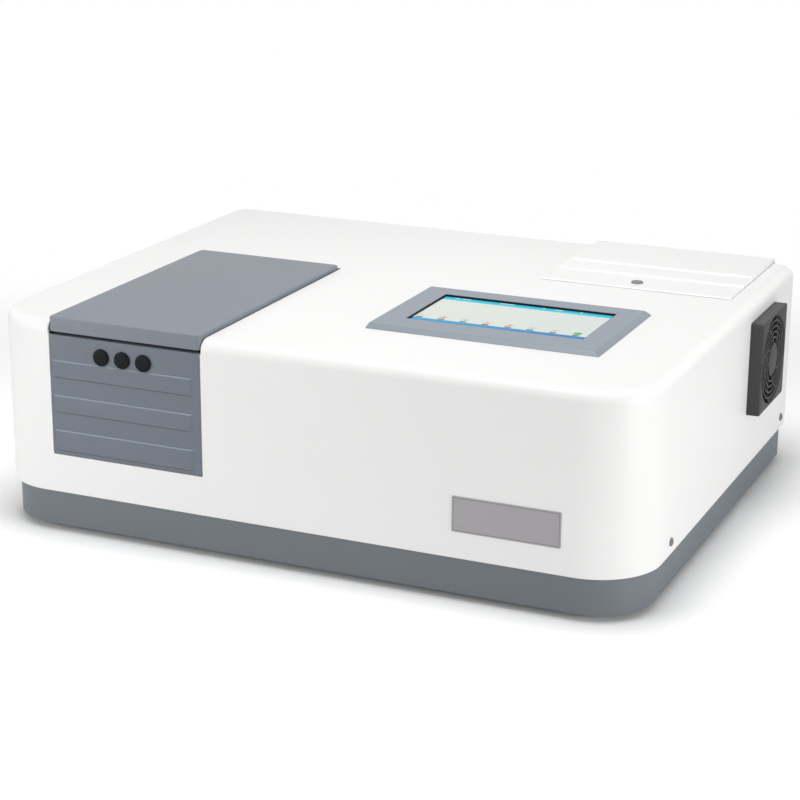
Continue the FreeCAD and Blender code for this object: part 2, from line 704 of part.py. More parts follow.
# ---------------------------------------------------------------- sample chamber
def beam_ys():
    """Y of the sample beam and of the reference beam."""
    return (SAMPLE_Y, REFERENCE_Y)


def make_sample_chamber():
    """Open box with rod bosses, beam windows, port holes and legs."""
    box_ = block(CHAMBER_X0, CHAMBER_X1, CHAMBER_Y0, CHAMBER_Y1, CHAMBER_Z0, CHAMBER_Z1)
    hollow = block(CHAMBER_X0 + CHAMBER_WALL, CHAMBER_X1 - CHAMBER_WALL,
                   CHAMBER_Y0 + CHAMBER_WALL, CHAMBER_Y1 - CHAMBER_WALL,
                   CHAMBER_FLOOR_TOP, CHAMBER_Z1 + 1)
    shell = box_.cut(hollow)
    adds = []
    cuts = []
    inner_y0 = CHAMBER_Y0 + CHAMBER_WALL
    inner_y1 = CHAMBER_Y1 - CHAMBER_WALL
    for dx in (-GUIDE_ROD_SPREAD / 2, 0, GUIDE_ROD_SPREAD / 2):
        x = CHAMBER_XC + dx
        adds.append(rod(ROD_BOSS_R, (x, inner_y0 - 1, ROD_Z), (x, inner_y0 + ROD_BOSS_L, ROD_Z)))
        adds.append(rod(ROD_BOSS_R, (x, inner_y1 - ROD_BOSS_L, ROD_Z), (x, inner_y1 + 1, ROD_Z)))
        end_y = CHAMBER_Y1 + 1 if dx == 0 else inner_y1
        radius = LEAD_SCREW_R if dx == 0 else GUIDE_ROD_R
        cuts.append(rod(radius + RUNNING, (x, inner_y0, ROD_Z), (x, end_y, ROD_Z)))
    for x in (CHAMBER_X0 + 2 * CHAMBER_LEG_R, CHAMBER_X1 - 2 * CHAMBER_LEG_R):
        for y in (CHAMBER_Y0 + 4 * CHAMBER_LEG_R, CHAMBER_Y1 - 2 * CHAMBER_LEG_R):
            adds.append(rod(CHAMBER_LEG_R, (x, y, BENCH_Z1), (x, y, CHAMBER_Z0 + 1)))
    for y in beam_ys():
        for x in (CHAMBER_X0, CHAMBER_X1 - CHAMBER_WALL):
            cuts.append(rod(WINDOW_HOLE_R, (x - 1, y, BEAM_Z), (x + CHAMBER_WALL + 1, y, BEAM_Z)))
    for x in plug_places():
        z = PANEL_Z1 - PLUG_DROP
        cuts.append(rod(PLUG_HOLE_R + SOCKET_FIT, (x, CHAMBER_Y0 - 1, z), (x, inner_y0 + 1, z)))
    return join([shell] + adds).cut(Part.makeCompound(cuts))


def make_chamber_windows():
    """Quartz discs in the side walls, one on each side of each beam."""
    return Part.makeCompound([
        rod(WINDOW_HOLE_R - RUNNING, (x, y, BEAM_Z), (x + WINDOW_T, y, BEAM_Z))
        for y in beam_ys() for x in (CHAMBER_X0, CHAMBER_X1 - CHAMBER_WALL)])


def make_guide_rods():
    """Two rods that the cell carriage slides on."""
    ends = (CHAMBER_Y0 + CHAMBER_WALL, CHAMBER_Y1 - CHAMBER_WALL)
    return Part.makeCompound([
        rod(GUIDE_ROD_R, (CHAMBER_XC + side * GUIDE_ROD_SPREAD / 2, ends[0], ROD_Z),
            (CHAMBER_XC + side * GUIDE_ROD_SPREAD / 2, ends[1], ROD_Z)) for side in (-1, 1)])


def cell_well(y, z_floor):
    """Cuts of one cell well with its light holes."""
    half = CELL_SIZE / 2
    reach = CELL_BLOCK_W / 2 + 1
    well = block(CHAMBER_XC - half, CHAMBER_XC + half, y - half, y + half, z_floor, CELL_TOP_Z + 1)
    light = rod(BEAM_HOLE_R, (CHAMBER_XC - reach, y, BEAM_Z), (CHAMBER_XC + reach, y, BEAM_Z))
    return well.fuse(light)


def make_cell_carriage():
    """Slide on the rods with a row of cell wells on top."""
    half_l = CARRIAGE_L / 2
    half_w = CARRIAGE_W / 2
    slide = block(CHAMBER_XC - half_w, CHAMBER_XC + half_w, SAMPLE_Y - half_l, SAMPLE_Y + half_l,
                  CARRIAGE_Z0, CARRIAGE_Z1)
    row = block(CHAMBER_XC - CELL_BLOCK_W / 2, CHAMBER_XC + CELL_BLOCK_W / 2,
                SAMPLE_Y - half_l, SAMPLE_Y + half_l, CARRIAGE_Z1, CELL_TOP_Z)
    cuts = []
    for i in range(CELL_COUNT):
        y = SAMPLE_Y + (i - (CELL_COUNT - 1) / 2) * CELL_PITCH
        cuts.append(cell_well(y, CELL_FLOOR_Z))
    for dx, radius in ((-GUIDE_ROD_SPREAD / 2, GUIDE_ROD_R), (0, LEAD_SCREW_R),
                       (GUIDE_ROD_SPREAD / 2, GUIDE_ROD_R)):
        x = CHAMBER_XC + dx
        cuts.append(rod(radius + RUNNING, (x, SAMPLE_Y - half_l - 1, ROD_Z),
                        (x, SAMPLE_Y + half_l + 1, ROD_Z)))
    return join([slide, row]).cut(Part.makeCompound(cuts))


def make_reference_holder():
    """Fixed holder for the reference cell, astride the lead screw."""
    half = CELL_BLOCK_W / 2
    gap = LEAD_SCREW_R + 2 * PART_GAP
    block_ = block(CHAMBER_XC - half, CHAMBER_XC + half, REFERENCE_Y - half, REFERENCE_Y + half,
                   CHAMBER_FLOOR_TOP, CELL_TOP_Z)
    tunnel = block(CHAMBER_XC - gap, CHAMBER_XC + gap, REFERENCE_Y - half - 1,
                   REFERENCE_Y + half + 1, CHAMBER_FLOOR_TOP - 1, ROD_Z + gap)
    return block_.cut(tunnel).cut(cell_well(REFERENCE_Y, CELL_FLOOR_Z))


def make_lead_screw():
    """Screw that drives the carriage, turned by the motor behind the chamber."""
    return rod(LEAD_SCREW_R, (CHAMBER_XC, CHAMBER_Y0 + CHAMBER_WALL + PART_GAP, ROD_Z),
               (CHAMBER_XC, CHAMBER_Y1 + SMALL_MOTOR_L / 2, ROD_Z))


def make_carriage_motor():
    """Stepper motor on the chamber's back wall."""
    half = SMALL_MOTOR / 2
    body = block(CHAMBER_XC - half, CHAMBER_XC + half, CHAMBER_Y1, CHAMBER_Y1 + SMALL_MOTOR_L,
                 ROD_Z - half, ROD_Z + half)
    body = body.makeChamfer(2.5, [e for e in body.Edges if abs(e.Vertexes[0].Y
                                  - e.Vertexes[-1].Y) > SMALL_MOTOR_L / 2])
    return body.cut(rod(LEAD_SCREW_R + RUNNING, (CHAMBER_XC, CHAMBER_Y1 - 1, ROD_Z),
                        (CHAMBER_XC, CHAMBER_Y1 + SMALL_MOTOR_L / 2 + PART_GAP, ROD_Z)))


# ---------------------------------------------------------------- optical bench
def bench_corners():
    """Outline of the L-shaped bench, clear of the supply and the main board."""
    x0 = X_LEFT + BASE_INSET + BASE_WALL + BENCH_MARGIN
    x1 = X_RIGHT - BASE_INSET - BASE_WALL - BENCH_MARGIN
    y0 = Y_FRONT + BASE_INSET + BASE_WALL + BENCH_MARGIN
    y1 = Y_BACK - BASE_INSET - BASE_WALL - BENCH_MARGIN
    cut = FRONT_R * 0.7
    inner_x = MAIN_BOARD_X - BENCH_MARGIN
    inner_y = MAIN_BOARD_Y + MAIN_BOARD_SIZE[1] + BENCH_MARGIN
    return [(x0, y0 + cut), (x0 + cut, y0), (inner_x, y0), (inner_x, inner_y),
            (x1, inner_y), (x1, y1), (x0, y1)]


def make_optical_bench():
    """Cast plate that carries the optics."""
    points = [Vector(x, y, BENCH_Z0) for x, y in bench_corners()]
    face = Part.Face(Part.makePolygon(points + points[:1]))
    return face.extrude(Vector(0, 0, BENCH_T))


def make_bench_mounts():
    """Rubber mounts between the tray's floor and the bench."""
    inset = 3 * BENCH_MOUNT_R
    corners = bench_corners()
    x0, y0 = corners[0]
    inner_x = corners[2][0]
    x1, y1 = corners[5]
    inner_y = corners[3][1]
    places = [(x0 + inset, y0 + inset), (inner_x - inset, corners[2][1] + inset),
              (x1 - inset, inner_y + inset), (x1 - inset, y1 - inset),
              (x0 + inset, y1 - inset), ((x0 + x1) / 2, y1 - inset)]
    return Part.makeCompound([rod(BENCH_MOUNT_R, (x, y, FLOOR_Z), (x, y, BENCH_Z0))
                              for x, y in places])


def make_slit_plates():
    """Entrance and exit slits on their stands."""
    height = BEAM_Z + STAND_W / 2
    slit_h = BEAM_HOLE_R
    entrance = stand(ENTRANCE_SLIT_X, LIGHT_Y, "x", STAND_W, height, STAND_T / 2)
    entrance = entrance.cut(block(ENTRANCE_SLIT_X - 1, ENTRANCE_SLIT_X + STAND_T,
                                  LIGHT_Y - 0.5, LIGHT_Y + 0.5, BEAM_Z - slit_h, BEAM_Z + slit_h))
    exit_ = stand(FOLD_X, EXIT_SLIT_Y, "y", STAND_W, height, STAND_T / 2)
    exit_ = exit_.cut(block(FOLD_X - 0.5, FOLD_X + 0.5, EXIT_SLIT_Y - 1, EXIT_SLIT_Y + STAND_T,
                            BEAM_Z - slit_h, BEAM_Z + slit_h))
    return Part.makeCompound([entrance, exit_])


def collimator_ys():
    """Y of the two concave mirrors."""
    middle = LIGHT_Y + STAND_W / 4
    return [middle + side * COLLIMATOR_PITCH / 2 for side in (-1, 1)]


def make_mirror_stands():
    """Stands behind the two concave mirrors."""
    return Part.makeCompound([stand(COLLIMATOR_X - STAND_T, y, "x", STAND_W,
                                    BEAM_Z + MIRROR_R, STAND_T) for y in collimator_ys()])


def make_collimating_mirrors():
    """Two concave mirrors facing the grating."""
    mirrors = []
    sphere_r = 6 * MIRROR_R
    sag = sphere_r - math.sqrt(sphere_r ** 2 - MIRROR_R ** 2)
    for y in collimator_ys():
        disc = rod(MIRROR_R, (COLLIMATOR_X, y, BEAM_Z), (COLLIMATOR_X + MIRROR_T, y, BEAM_Z))
        bowl = Part.makeSphere(sphere_r, Vector(COLLIMATOR_X + MIRROR_T - sag + sphere_r, y, BEAM_Z))
        mirrors.append(disc.cut(bowl))
    return Part.makeCompound(mirrors)


def upright_motor(x, y):
    """Small stepper motor on the bench with a socket for its shaft."""
    half = SMALL_MOTOR / 2
    body = block(x - half, x + half, y - half, y + half, BENCH_Z1, BENCH_Z1 + SMALL_MOTOR_L)
    return body.cut(rod(SHAFT_R + RUNNING, (x, y, BENCH_Z1 + SMALL_MOTOR_L / 2),
                        (x, y, BENCH_Z1 + SMALL_MOTOR_L + 1)))


def make_grating_turntable():
    """Round table on the grating motor's shaft, with a back plate for the grating."""
    top = BEAM_Z - GRATING_SIZE / 2
    table = rod(TURNTABLE_R, (GRATING_X, GRATING_Y, top - TURNTABLE_T), (GRATING_X, GRATING_Y, top))
    shaft = rod(SHAFT_R, (GRATING_X, GRATING_Y, BENCH_Z1 + SMALL_MOTOR_L / 2 + PART_GAP),
                (GRATING_X, GRATING_Y, top))
    half = GRATING_SIZE / 2
    plate = block(GRATING_X + GRATING_T / 2, GRATING_X + GRATING_T, GRATING_Y - half,
                  GRATING_Y + half, top, top + GRATING_SIZE)
    return join([table, shaft, plate])


def make_grating():
    """Ruled grating block, face on the turntable's axis side."""
    half = GRATING_SIZE / 2
    top = BEAM_Z - half
    return block(GRATING_X - GRATING_T / 2, GRATING_X + GRATING_T / 2,
                 GRATING_Y - half, GRATING_Y + half, top, top + GRATING_SIZE)


def make_fold_mirrors():
    """Beam splitter and fold mirror that send both beams through the chamber."""
    mirrors = []
    half = GRATING_SIZE / 2
    for y in beam_ys():
        post = rod(STAND_T, (FOLD_X, y, BENCH_Z1), (FOLD_X, y, BEAM_Z - half))
        glass = block(-SOURCE_MIRROR_T / 2, SOURCE_MIRROR_T / 2, -half, half,
                      BEAM_Z - half, BEAM_Z + half)
        glass.rotate(Vector(0, 0, 0), Vector(0, 0, 1), 45)
        glass.translate(Vector(FOLD_X, y, 0))
        mirrors.append(join([post, glass]))
    return Part.makeCompound(mirrors)


def make_detector_housings():
    """Two detector blocks on posts at the far side of the chamber."""
    x1 = CHAMBER_X0 - DETECTOR_GAP
    x0 = x1 - DETECTOR_T
    parts = []
    for y in beam_ys():
        head = block(x0, x1, y - DETECTOR_W / 2, y + DETECTOR_W / 2,
                     BEAM_Z - DETECTOR_H / 2, BEAM_Z + DETECTOR_H / 2)
        post = block(x0 + STAND_T, x1 - STAND_T, y - STAND_T, y + STAND_T,
                     BENCH_Z1, BEAM_Z - DETECTOR_H / 2)
        eye = rod(BEAM_HOLE_R * 1.5, (x1 - DETECTOR_T / 3, y, BEAM_Z), (x1 + 1, y, BEAM_Z))
        parts.append(join([head, post]).cut(eye))
    return Part.makeCompound(parts)


def make_detector_boards():
    """Amplifier boards on the backs of the detectors."""
    x1 = CHAMBER_X0 - DETECTOR_GAP - DETECTOR_T
    return Part.makeCompound([
        block(x1 - BOARD_T, x1, y - DETECTOR_W / 2, y + DETECTOR_W / 2,
              BEAM_Z - DETECTOR_H / 2, BEAM_Z + DETECTOR_H / 2) for y in beam_ys()])


# ---------------------------------------------------------------- filter wheel and lamps
def wheel_z():
    """Height of the filter wheel's axle, one orbit below the beam."""
    return BEAM_Z - FILTER_ORBIT


def filter_places():
    """Centres of the filters, as (y, z)."""
    step = 2 * math.pi / FILTER_COUNT
    return [(LIGHT_Y + FILTER_ORBIT * math.sin(i * step),
             wheel_z() + FILTER_ORBIT * math.cos(i * step)) for i in range(FILTER_COUNT)]


def make_filter_wheel():
    """Wheel with its axle and filter holes."""
    z = wheel_z()
    disc = rod(WHEEL_R, (WHEEL_X, LIGHT_Y, z), (WHEEL_X + WHEEL_T, LIGHT_Y, z))
    axle = rod(SHAFT_R, (WHEEL_X, LIGHT_Y, z), (WHEEL_X + WHEEL_T + SMALL_MOTOR_L / 2, LIGHT_Y, z))
    holes = [rod(FILTER_R, (WHEEL_X - 1, y, fz), (WHEEL_X + WHEEL_T + 1, y, fz))
             for y, fz in filter_places()]
    return join([disc, axle]).cut(Part.makeCompound(holes))


def make_filter_glasses():
    """Filters set in the wheel's holes."""
    return Part.makeCompound([
        rod(FILTER_R - RUNNING, (WHEEL_X, y, z), (WHEEL_X + WHEEL_T, y, z))
        for y, z in filter_places()])


def make_filter_wheel_motor():
    """Motor of the filter wheel with its foot, low enough to leave the beam free."""
    z = wheel_z()
    half = FILTER_ORBIT - FILTER_R - PART_GAP
    x0 = WHEEL_X + WHEEL_T + 1
    body = block(x0, x0 + SMALL_MOTOR_L, LIGHT_Y - half, LIGHT_Y + half, z - half, z + half)
    foot = block(x0 + STAND_T, x0 + 2 * STAND_T, LIGHT_Y - half, LIGHT_Y + half, BENCH_Z1, z)
    socket = rod(SHAFT_R + RUNNING, (x0 - 1, LIGHT_Y, z), (x0 + SMALL_MOTOR_L / 2, LIGHT_Y, z))
    return join([body, foot]).cut(socket)


def make_source_mirror():
    """Mirror that picks the lamp, on its motor's shaft."""
    half = SOURCE_MIRROR_SIZE / 2
    glass = block(-SOURCE_MIRROR_T / 2, SOURCE_MIRROR_T / 2, -half, half,
                  BEAM_Z - half, BEAM_Z + half)
    glass.rotate(Vector(0, 0, 0), Vector(0, 0, 1), -45)
    glass.translate(Vector(SOURCE_MIRROR_X, LIGHT_Y, 0))
    shaft = rod(SHAFT_R, (SOURCE_MIRROR_X, LIGHT_Y, BENCH_Z1 + SMALL_MOTOR_L / 2 + PART_GAP),
                (SOURCE_MIRROR_X, LIGHT_Y, BEAM_Z - half + 1))
    return join([glass, shaft])


def make_lamp_bracket():
    """Plate with the two lamp sockets."""
    x0 = HALOGEN_X - 2 * STAND_T
    x1 = DEUTERIUM_X + DEUTERIUM_R + STAND_T
    y0 = DEUTERIUM_Y - DEUTERIUM_R - STAND_T
    y1 = HALOGEN_Y + 3 * STAND_T
    plate = block(x0, x1, y0, y1, BENCH_Z1, BENCH_Z1 + LAMP_PLATE_T)
    top = BENCH_Z1 + LAMP_PLATE_T + SOCKET_H
    sockets = [rod(DEUTERIUM_R + 2, (DEUTERIUM_X, DEUTERIUM_Y, BENCH_Z1),
                   (DEUTERIUM_X, DEUTERIUM_Y, top)),
               rod(HALOGEN_R + 4, (HALOGEN_X, HALOGEN_Y, BENCH_Z1), (HALOGEN_X, HALOGEN_Y, top))]
    wells = [rod(DEUTERIUM_R + SOCKET_FIT, (DEUTERIUM_X, DEUTERIUM_Y, top - SOCKET_H),
                 (DEUTERIUM_X, DEUTERIUM_Y, top + 1)),
             rod(HALOGEN_R + SOCKET_FIT, (HALOGEN_X, HALOGEN_Y, top - SOCKET_H),
                 (HALOGEN_X, HALOGEN_Y, top + 1))]
    return join([plate] + sockets).cut(Part.makeCompound(wells))


def lamp(x, y, radius, height):
    """Lamp with a rounded top, seated in its socket."""
    z0 = BENCH_Z1 + LAMP_PLATE_T
    body = rod(radius, (x, y, z0), (x, y, z0 + height - radius))
    dome = Part.makeSphere(radius, Vector(x, y, z0 + height - radius))
    return join([body, dome])


# ---------------------------------------------------------------- lamp hatch
def hatch_step(left, front, back, top):
    """Step of the hatch with a sloped front edge."""
    step = block(left, HATCH_X1, front, back, TOP_Z - TOP_R, top)
    edge = edges_at(step, lambda p: p.z > top - 0.1 and p.y < front + 0.1)
    return step.makeChamfer(HATCH_SLOPE, edge)


def make_lamp_cover():
    """Stepped hatch over the lamps, with a lip that drops into the opening."""
    tops = [TOP_Z + (i + 1) * HATCH_RISE for i in range(len(HATCH_STEPS))]
    back = Y_BACK + HATCH_RISE
    steps = [hatch_step(HATCH_X0 + i * HATCH_SIDE_STEP, HATCH_Y0 + start, back, tops[i])
             for i, start in enumerate(HATCH_STEPS)]
    hatch = join(steps)
    back_edge = edges_at(hatch, lambda p: p.z > tops[-1] - 0.1 and p.y > back - 0.1)
    hatch = hatch.makeFillet(TOP_R, back_edge)
    hatch = hatch.cut(cover_solid(PART_GAP))
    lip = hatch_hole(PART_GAP, TOP_Z - HATCH_LIP_H, TOP_Z + 2 * PART_GAP)
    lip = lip.cut(hatch_hole(PART_GAP + HATCH_LIP, TOP_Z - HATCH_LIP_H - 1, TOP_Z + 1))
    pocket = hatch_hole(HATCH_LIP + PART_GAP, TOP_Z, TOP_Z + HATCH_RISE / 2)
    x, y = hatch_screw_place()
    bore = rod(HATCH_SCREW_R + RUNNING, (x, y, TOP_Z - 1), (x, y, TOP_Z + 3 * HATCH_RISE))
    return join([hatch, lip]).cut(pocket).cut(bore)


def make_lamp_cover_screw():
    """Quarter-turn screw that holds the hatch."""
    x, y = hatch_screw_place()
    seat = TOP_Z + HATCH_RISE
    head = rod(HATCH_HEAD_R, (x, y, seat), (x, y, seat + HATCH_HEAD_T))
    slot = block(x - HATCH_HEAD_R * 0.7, x + HATCH_HEAD_R * 0.7, y - 0.5, y + 0.5,
                 seat + HATCH_HEAD_T / 2, seat + HATCH_HEAD_T + 1)
    shank = rod(HATCH_SCREW_R, (x, y, ROOF_Z - COVER_WALL), (x, y, seat))
    return join([head.cut(slot), shank])


# ---------------------------------------------------------------- screen
def window_block(grow, z0, z1):
    """Block over the window's outline, grown outwards."""
    return block(WINDOW_X0 - grow, WINDOW_X0 + WINDOW_W + grow,
                 WINDOW_Y0 - grow, WINDOW_Y0 + WINDOW_D + grow, z0, z1)


def make_screen_bezel():
    """Frame on the roof with bevelled edges, a window and a skirt."""
    plate = block(BEZEL_X0, BEZEL_X0 + BEZEL_W, BEZEL_Y0, BEZEL_Y0 + BEZEL_D, TOP_Z, BEZEL_Z1)
    upright = [e for e in plate.Edges if abs(e.Vertexes[0].Z - e.Vertexes[-1].Z) > BEZEL_PROUD / 2]
    plate = plate.makeFillet(BEZEL_CORNER, upright)
    low = plate.common(block(BEZEL_X0, BEZEL_X0 + BEZEL_W, BEZEL_Y0, BEZEL_Y0 + BEZEL_D,
                             TOP_Z, BEZEL_Z1 - BEZEL_BEVEL_DROP))
    z_low = BEZEL_Z1 - BEZEL_BEVEL_DROP
    lower_face = [Vector(BEZEL_X0, BEZEL_Y0, z_low), Vector(BEZEL_X0 + BEZEL_W, BEZEL_Y0, z_low),
                  Vector(BEZEL_X0 + BEZEL_W, BEZEL_Y0 + BEZEL_D, z_low),
                  Vector(BEZEL_X0, BEZEL_Y0 + BEZEL_D, z_low)]
    x0 = BEZEL_X0 + BEZEL_BACK_BEVEL_W
    x1 = BEZEL_X0 + BEZEL_W - BEZEL_BEVEL_W
    y0 = BEZEL_Y0 + BEZEL_BEVEL_W
    y1 = BEZEL_Y0 + BEZEL_D - BEZEL_BACK_BEVEL_W
    upper_face = [Vector(x0, y0, BEZEL_Z1), Vector(x1, y0, BEZEL_Z1),
                  Vector(x1, y1, BEZEL_Z1), Vector(x0, y1, BEZEL_Z1)]
    bevelled = Part.makeLoft([Part.makePolygon(lower_face + lower_face[:1]),
                              Part.makePolygon(upper_face + upper_face[:1])], True)
    top = plate.common(bevelled)
    skirt = bezel_skirt(0, ROOF_Z, TOP_Z + 0.1)
    frame = join([low, top, skirt])
    frame = frame.cut(window_block(0, ROOF_Z - 1, BEZEL_Z1 + 1))
    return frame.cut(window_block(GLASS_LAP + SOCKET_FIT, ROOF_Z - 1, GLASS_Z1))


def make_touch_glass():
    """Touch glass under the frame's lip."""
    return window_block(GLASS_LAP, GLASS_Z0, GLASS_Z1)


def make_lcd_module():
    """Display module behind the glass, with mounting ears under the frame."""
    return window_block(GLASS_LAP, LCD_Z0, GLASS_Z0)


def make_display_board():
    """Driver board under the display on four spacers."""
    z1 = LCD_Z0 - STANDOFF_H
    board = window_block(-LCD_LAP, z1 - BOARD_T, z1)
    posts = []
    for x in (WINDOW_X0 + 2 * LCD_LAP, WINDOW_X0 + WINDOW_W - 2 * LCD_LAP):
        for y in (WINDOW_Y0 + 2 * LCD_LAP, WINDOW_Y0 + WINDOW_D - 2 * LCD_LAP):
            posts.append(rod(STANDOFF_R, (x, y, z1), (x, y, LCD_Z0)))
    return join([board] + posts)


# ---------------------------------------------------------------- fan
def fan_ring(radius, x0, x1):
    """Cylinder on the fan's axis."""
    return rod(radius, (x0, FAN_Y, FAN_ZC), (x1, FAN_Y, FAN_ZC))


def fan_square(size, x0, x1):
    """Square block centred on the fan's axis."""
    half = size / 2
    return block(x0, x1, FAN_Y - half, FAN_Y + half, FAN_ZC - half, FAN_ZC + half)


def fan_arm(x0, x1, r0, r1, width, angle):
    """Bar from one radius to another at an angle about the fan's axis."""
    arm = block(x0, x1, r0, r1, -width / 2, width / 2)
    arm.rotate(Vector(0, 0, 0), Vector(1, 0, 0), angle)
    arm.translate(Vector(0, FAN_Y, FAN_ZC))
    return arm


def make_fan_frame():
    """Square fan frame with its hub on three arms."""
    frame = fan_square(FAN_SIZE, FAN_X0, FAN_X1)
    frame = frame.cut(fan_ring(FAN_DUCT_R, FAN_X0 - 1, FAN_X1 + 1))
    hub = fan_ring(FAN_HUB_R, FAN_X0, FAN_X0 + FAN_T / 5)
    arms = [fan_arm(FAN_X0, FAN_X0 + FAN_T / 8, FAN_HUB_R - 2, FAN_DUCT_R + 1,
                    GUARD_SPOKE_W * 2, 30 + 120 * i) for i in range(3)]
    frame = join([frame, hub] + arms)
    cuts = [fan_ring(SHAFT_R + RUNNING, FAN_X0 - 1, FAN_X0 + FAN_T)]
    for y, z in fan_screw_places():
        cuts.append(rod(FAN_SCREW_R + RUNNING, (FAN_X0 - 1, y, z), (FAN_X1 + 1, y, z)))
    return frame.cut(Part.makeCompound(cuts))


def make_fan_rotor():
    """Hub with pitched blades on its shaft."""
    x0 = FAN_X0 + FAN_T / 5 + 1
    x1 = FAN_X1 - 1
    parts = [fan_ring(FAN_HUB_R + 1, x0, x1), fan_ring(SHAFT_R, FAN_X0 + 1, x1)]
    middle = (x0 + x1) / 2
    half_chord = (x1 - x0) / 2 / math.cos(math.radians(FAN_PITCH)) - FAN_BLADE_T
    keep = fan_ring(FAN_BLADE_R, x0, x1)
    for i in range(FAN_BLADES):
        blade = block(-half_chord, half_chord, FAN_HUB_R, FAN_BLADE_R + 2,
                      -FAN_BLADE_T / 2, FAN_BLADE_T / 2)
        blade.rotate(Vector(0, 0, 0), Vector(0, 1, 0), FAN_PITCH)
        blade.translate(Vector(middle, 0, 0))
        blade.rotate(Vector(0, 0, 0), Vector(1, 0, 0), 360 / FAN_BLADES * i)
        blade.translate(Vector(0, FAN_Y, FAN_ZC))
        parts.append(blade.common(keep))
    return join(parts)


def make_fan_guard():
    """Square guard outside the wall, with rings and spokes at its outer face."""
    x0 = X_RIGHT
    x1 = X_RIGHT + GUARD_OUT
    frame = fan_square(GUARD_SIZE, x0, x1)
    outer = edges_at(frame, lambda p: p.x > x1 - 0.1)
    frame = frame.makeChamfer(GUARD_EDGE / 3, outer)
    mouth = Part.makeCone(FAN_DUCT_R, GUARD_MOUTH_R, GUARD_MOUTH_DEPTH,
                          Vector(x1 - GUARD_MOUTH_DEPTH, FAN_Y, FAN_ZC), Vector(1, 0, 0))
    frame = frame.cut(fan_ring(FAN_DUCT_R, x0 - 1, x1 + 1)).cut(mouth)
    grille_x0 = x1 - GUARD_GRILLE_T
    grille = [fan_ring(GUARD_DISC_R, grille_x0, x1)]
    step = (GUARD_MOUTH_R - GUARD_DISC_R) / (GUARD_RINGS + 1)
    for i in range(1, GUARD_RINGS + 1):
        radius = GUARD_DISC_R + i * step
        ring = fan_ring(radius + GUARD_RING_W / 2, grille_x0, x1)
        grille.append(ring.cut(fan_ring(radius - GUARD_RING_W / 2, grille_x0 - 1, x1 + 1)))
    for i in range(GUARD_SPOKES):
        grille.append(fan_arm(grille_x0, x1, GUARD_DISC_R - 2, GUARD_MOUTH_R, GUARD_SPOKE_W,
                              360 / GUARD_SPOKES * i + 180 / GUARD_SPOKES))
    pockets = [rod(FAN_SCREW_R * 2, (x0 - 1, y, z), (x0 + GUARD_OUT / 2, y, z))
               for y, z in fan_screw_places()]
    return join([frame] + grille).cut(Part.makeCompound(pockets))


def make_fan_screws():
    """Screws from the wall into the fan, under the guard."""
    return Part.makeCompound([
        pan_screw((X_RIGHT, y, z), (1, 0, 0), FAN_SCREW_R * 1.8, FAN_SCREW_R, FAN_SCREW_R,
                  COVER_WALL + FAN_T / 2) for y, z in fan_screw_places()])


# ---------------------------------------------------------------- electronics
def make_power_supply():
    """Supply box on the tray's floor, with an input connector block."""
    w, d, h = SUPPLY_SIZE
    case = block(SUPPLY_X, SUPPLY_X + w, SUPPLY_Y, SUPPLY_Y + d, FLOOR_Z, FLOOR_Z + h)
    shelf = block(SUPPLY_X - STANDOFF_H, SUPPLY_X, SUPPLY_Y + d / 4, SUPPLY_Y + 3 * d / 4,
                  FLOOR_Z, FLOOR_Z + h / 3)
    return join([case, shelf])


def board_corners():
    """Standoff places of the main board."""
    inset = 2 * STANDOFF_R
    xs = (MAIN_BOARD_X + inset, MAIN_BOARD_X + MAIN_BOARD_SIZE[0] - inset)
    ys = (MAIN_BOARD_Y + inset, MAIN_BOARD_Y + MAIN_BOARD_SIZE[1] - inset)
    return [(x, y) for x in xs for y in ys]


def make_board_standoffs():
    """Standoffs between the tray's floor and the main board."""
    return Part.makeCompound([rod(STANDOFF_R, (x, y, FLOOR_Z), (x, y, FLOOR_Z + STANDOFF_H))
                              for x, y in board_corners()])


def make_main_board():
    """Main board with its processor, connectors and capacitors."""
    z0 = FLOOR_Z + STANDOFF_H
    z1 = z0 + BOARD_T
    w, d = MAIN_BOARD_SIZE
    parts = [block(MAIN_BOARD_X, MAIN_BOARD_X + w, MAIN_BOARD_Y, MAIN_BOARD_Y + d, z0, z1)]
    chip = d / 3
    cx = MAIN_BOARD_X + w / 2
    cy = MAIN_BOARD_Y + d / 2
    parts.append(block(cx - chip / 2, cx + chip / 2, cy - chip / 2, cy + chip / 2, z1, z1 + 3))
    for i in range(4):
        x = MAIN_BOARD_X + w * (0.15 + 0.2 * i)
        y = MAIN_BOARD_Y + d - 4 * STANDOFF_R
        parts.append(block(x, x + chip, y - STANDOFF_R, y + STANDOFF_R, z1, z1 + STANDOFF_H))
    for i in range(3):
        x = MAIN_BOARD_X + w * 0.12 + i * 4 * STANDOFF_R
        y = MAIN_BOARD_Y + 5 * STANDOFF_R
        parts.append(rod(STANDOFF_R * 1.3, (x, y, z1), (x, y, z1 + STANDOFF_H)))
    return join(parts)


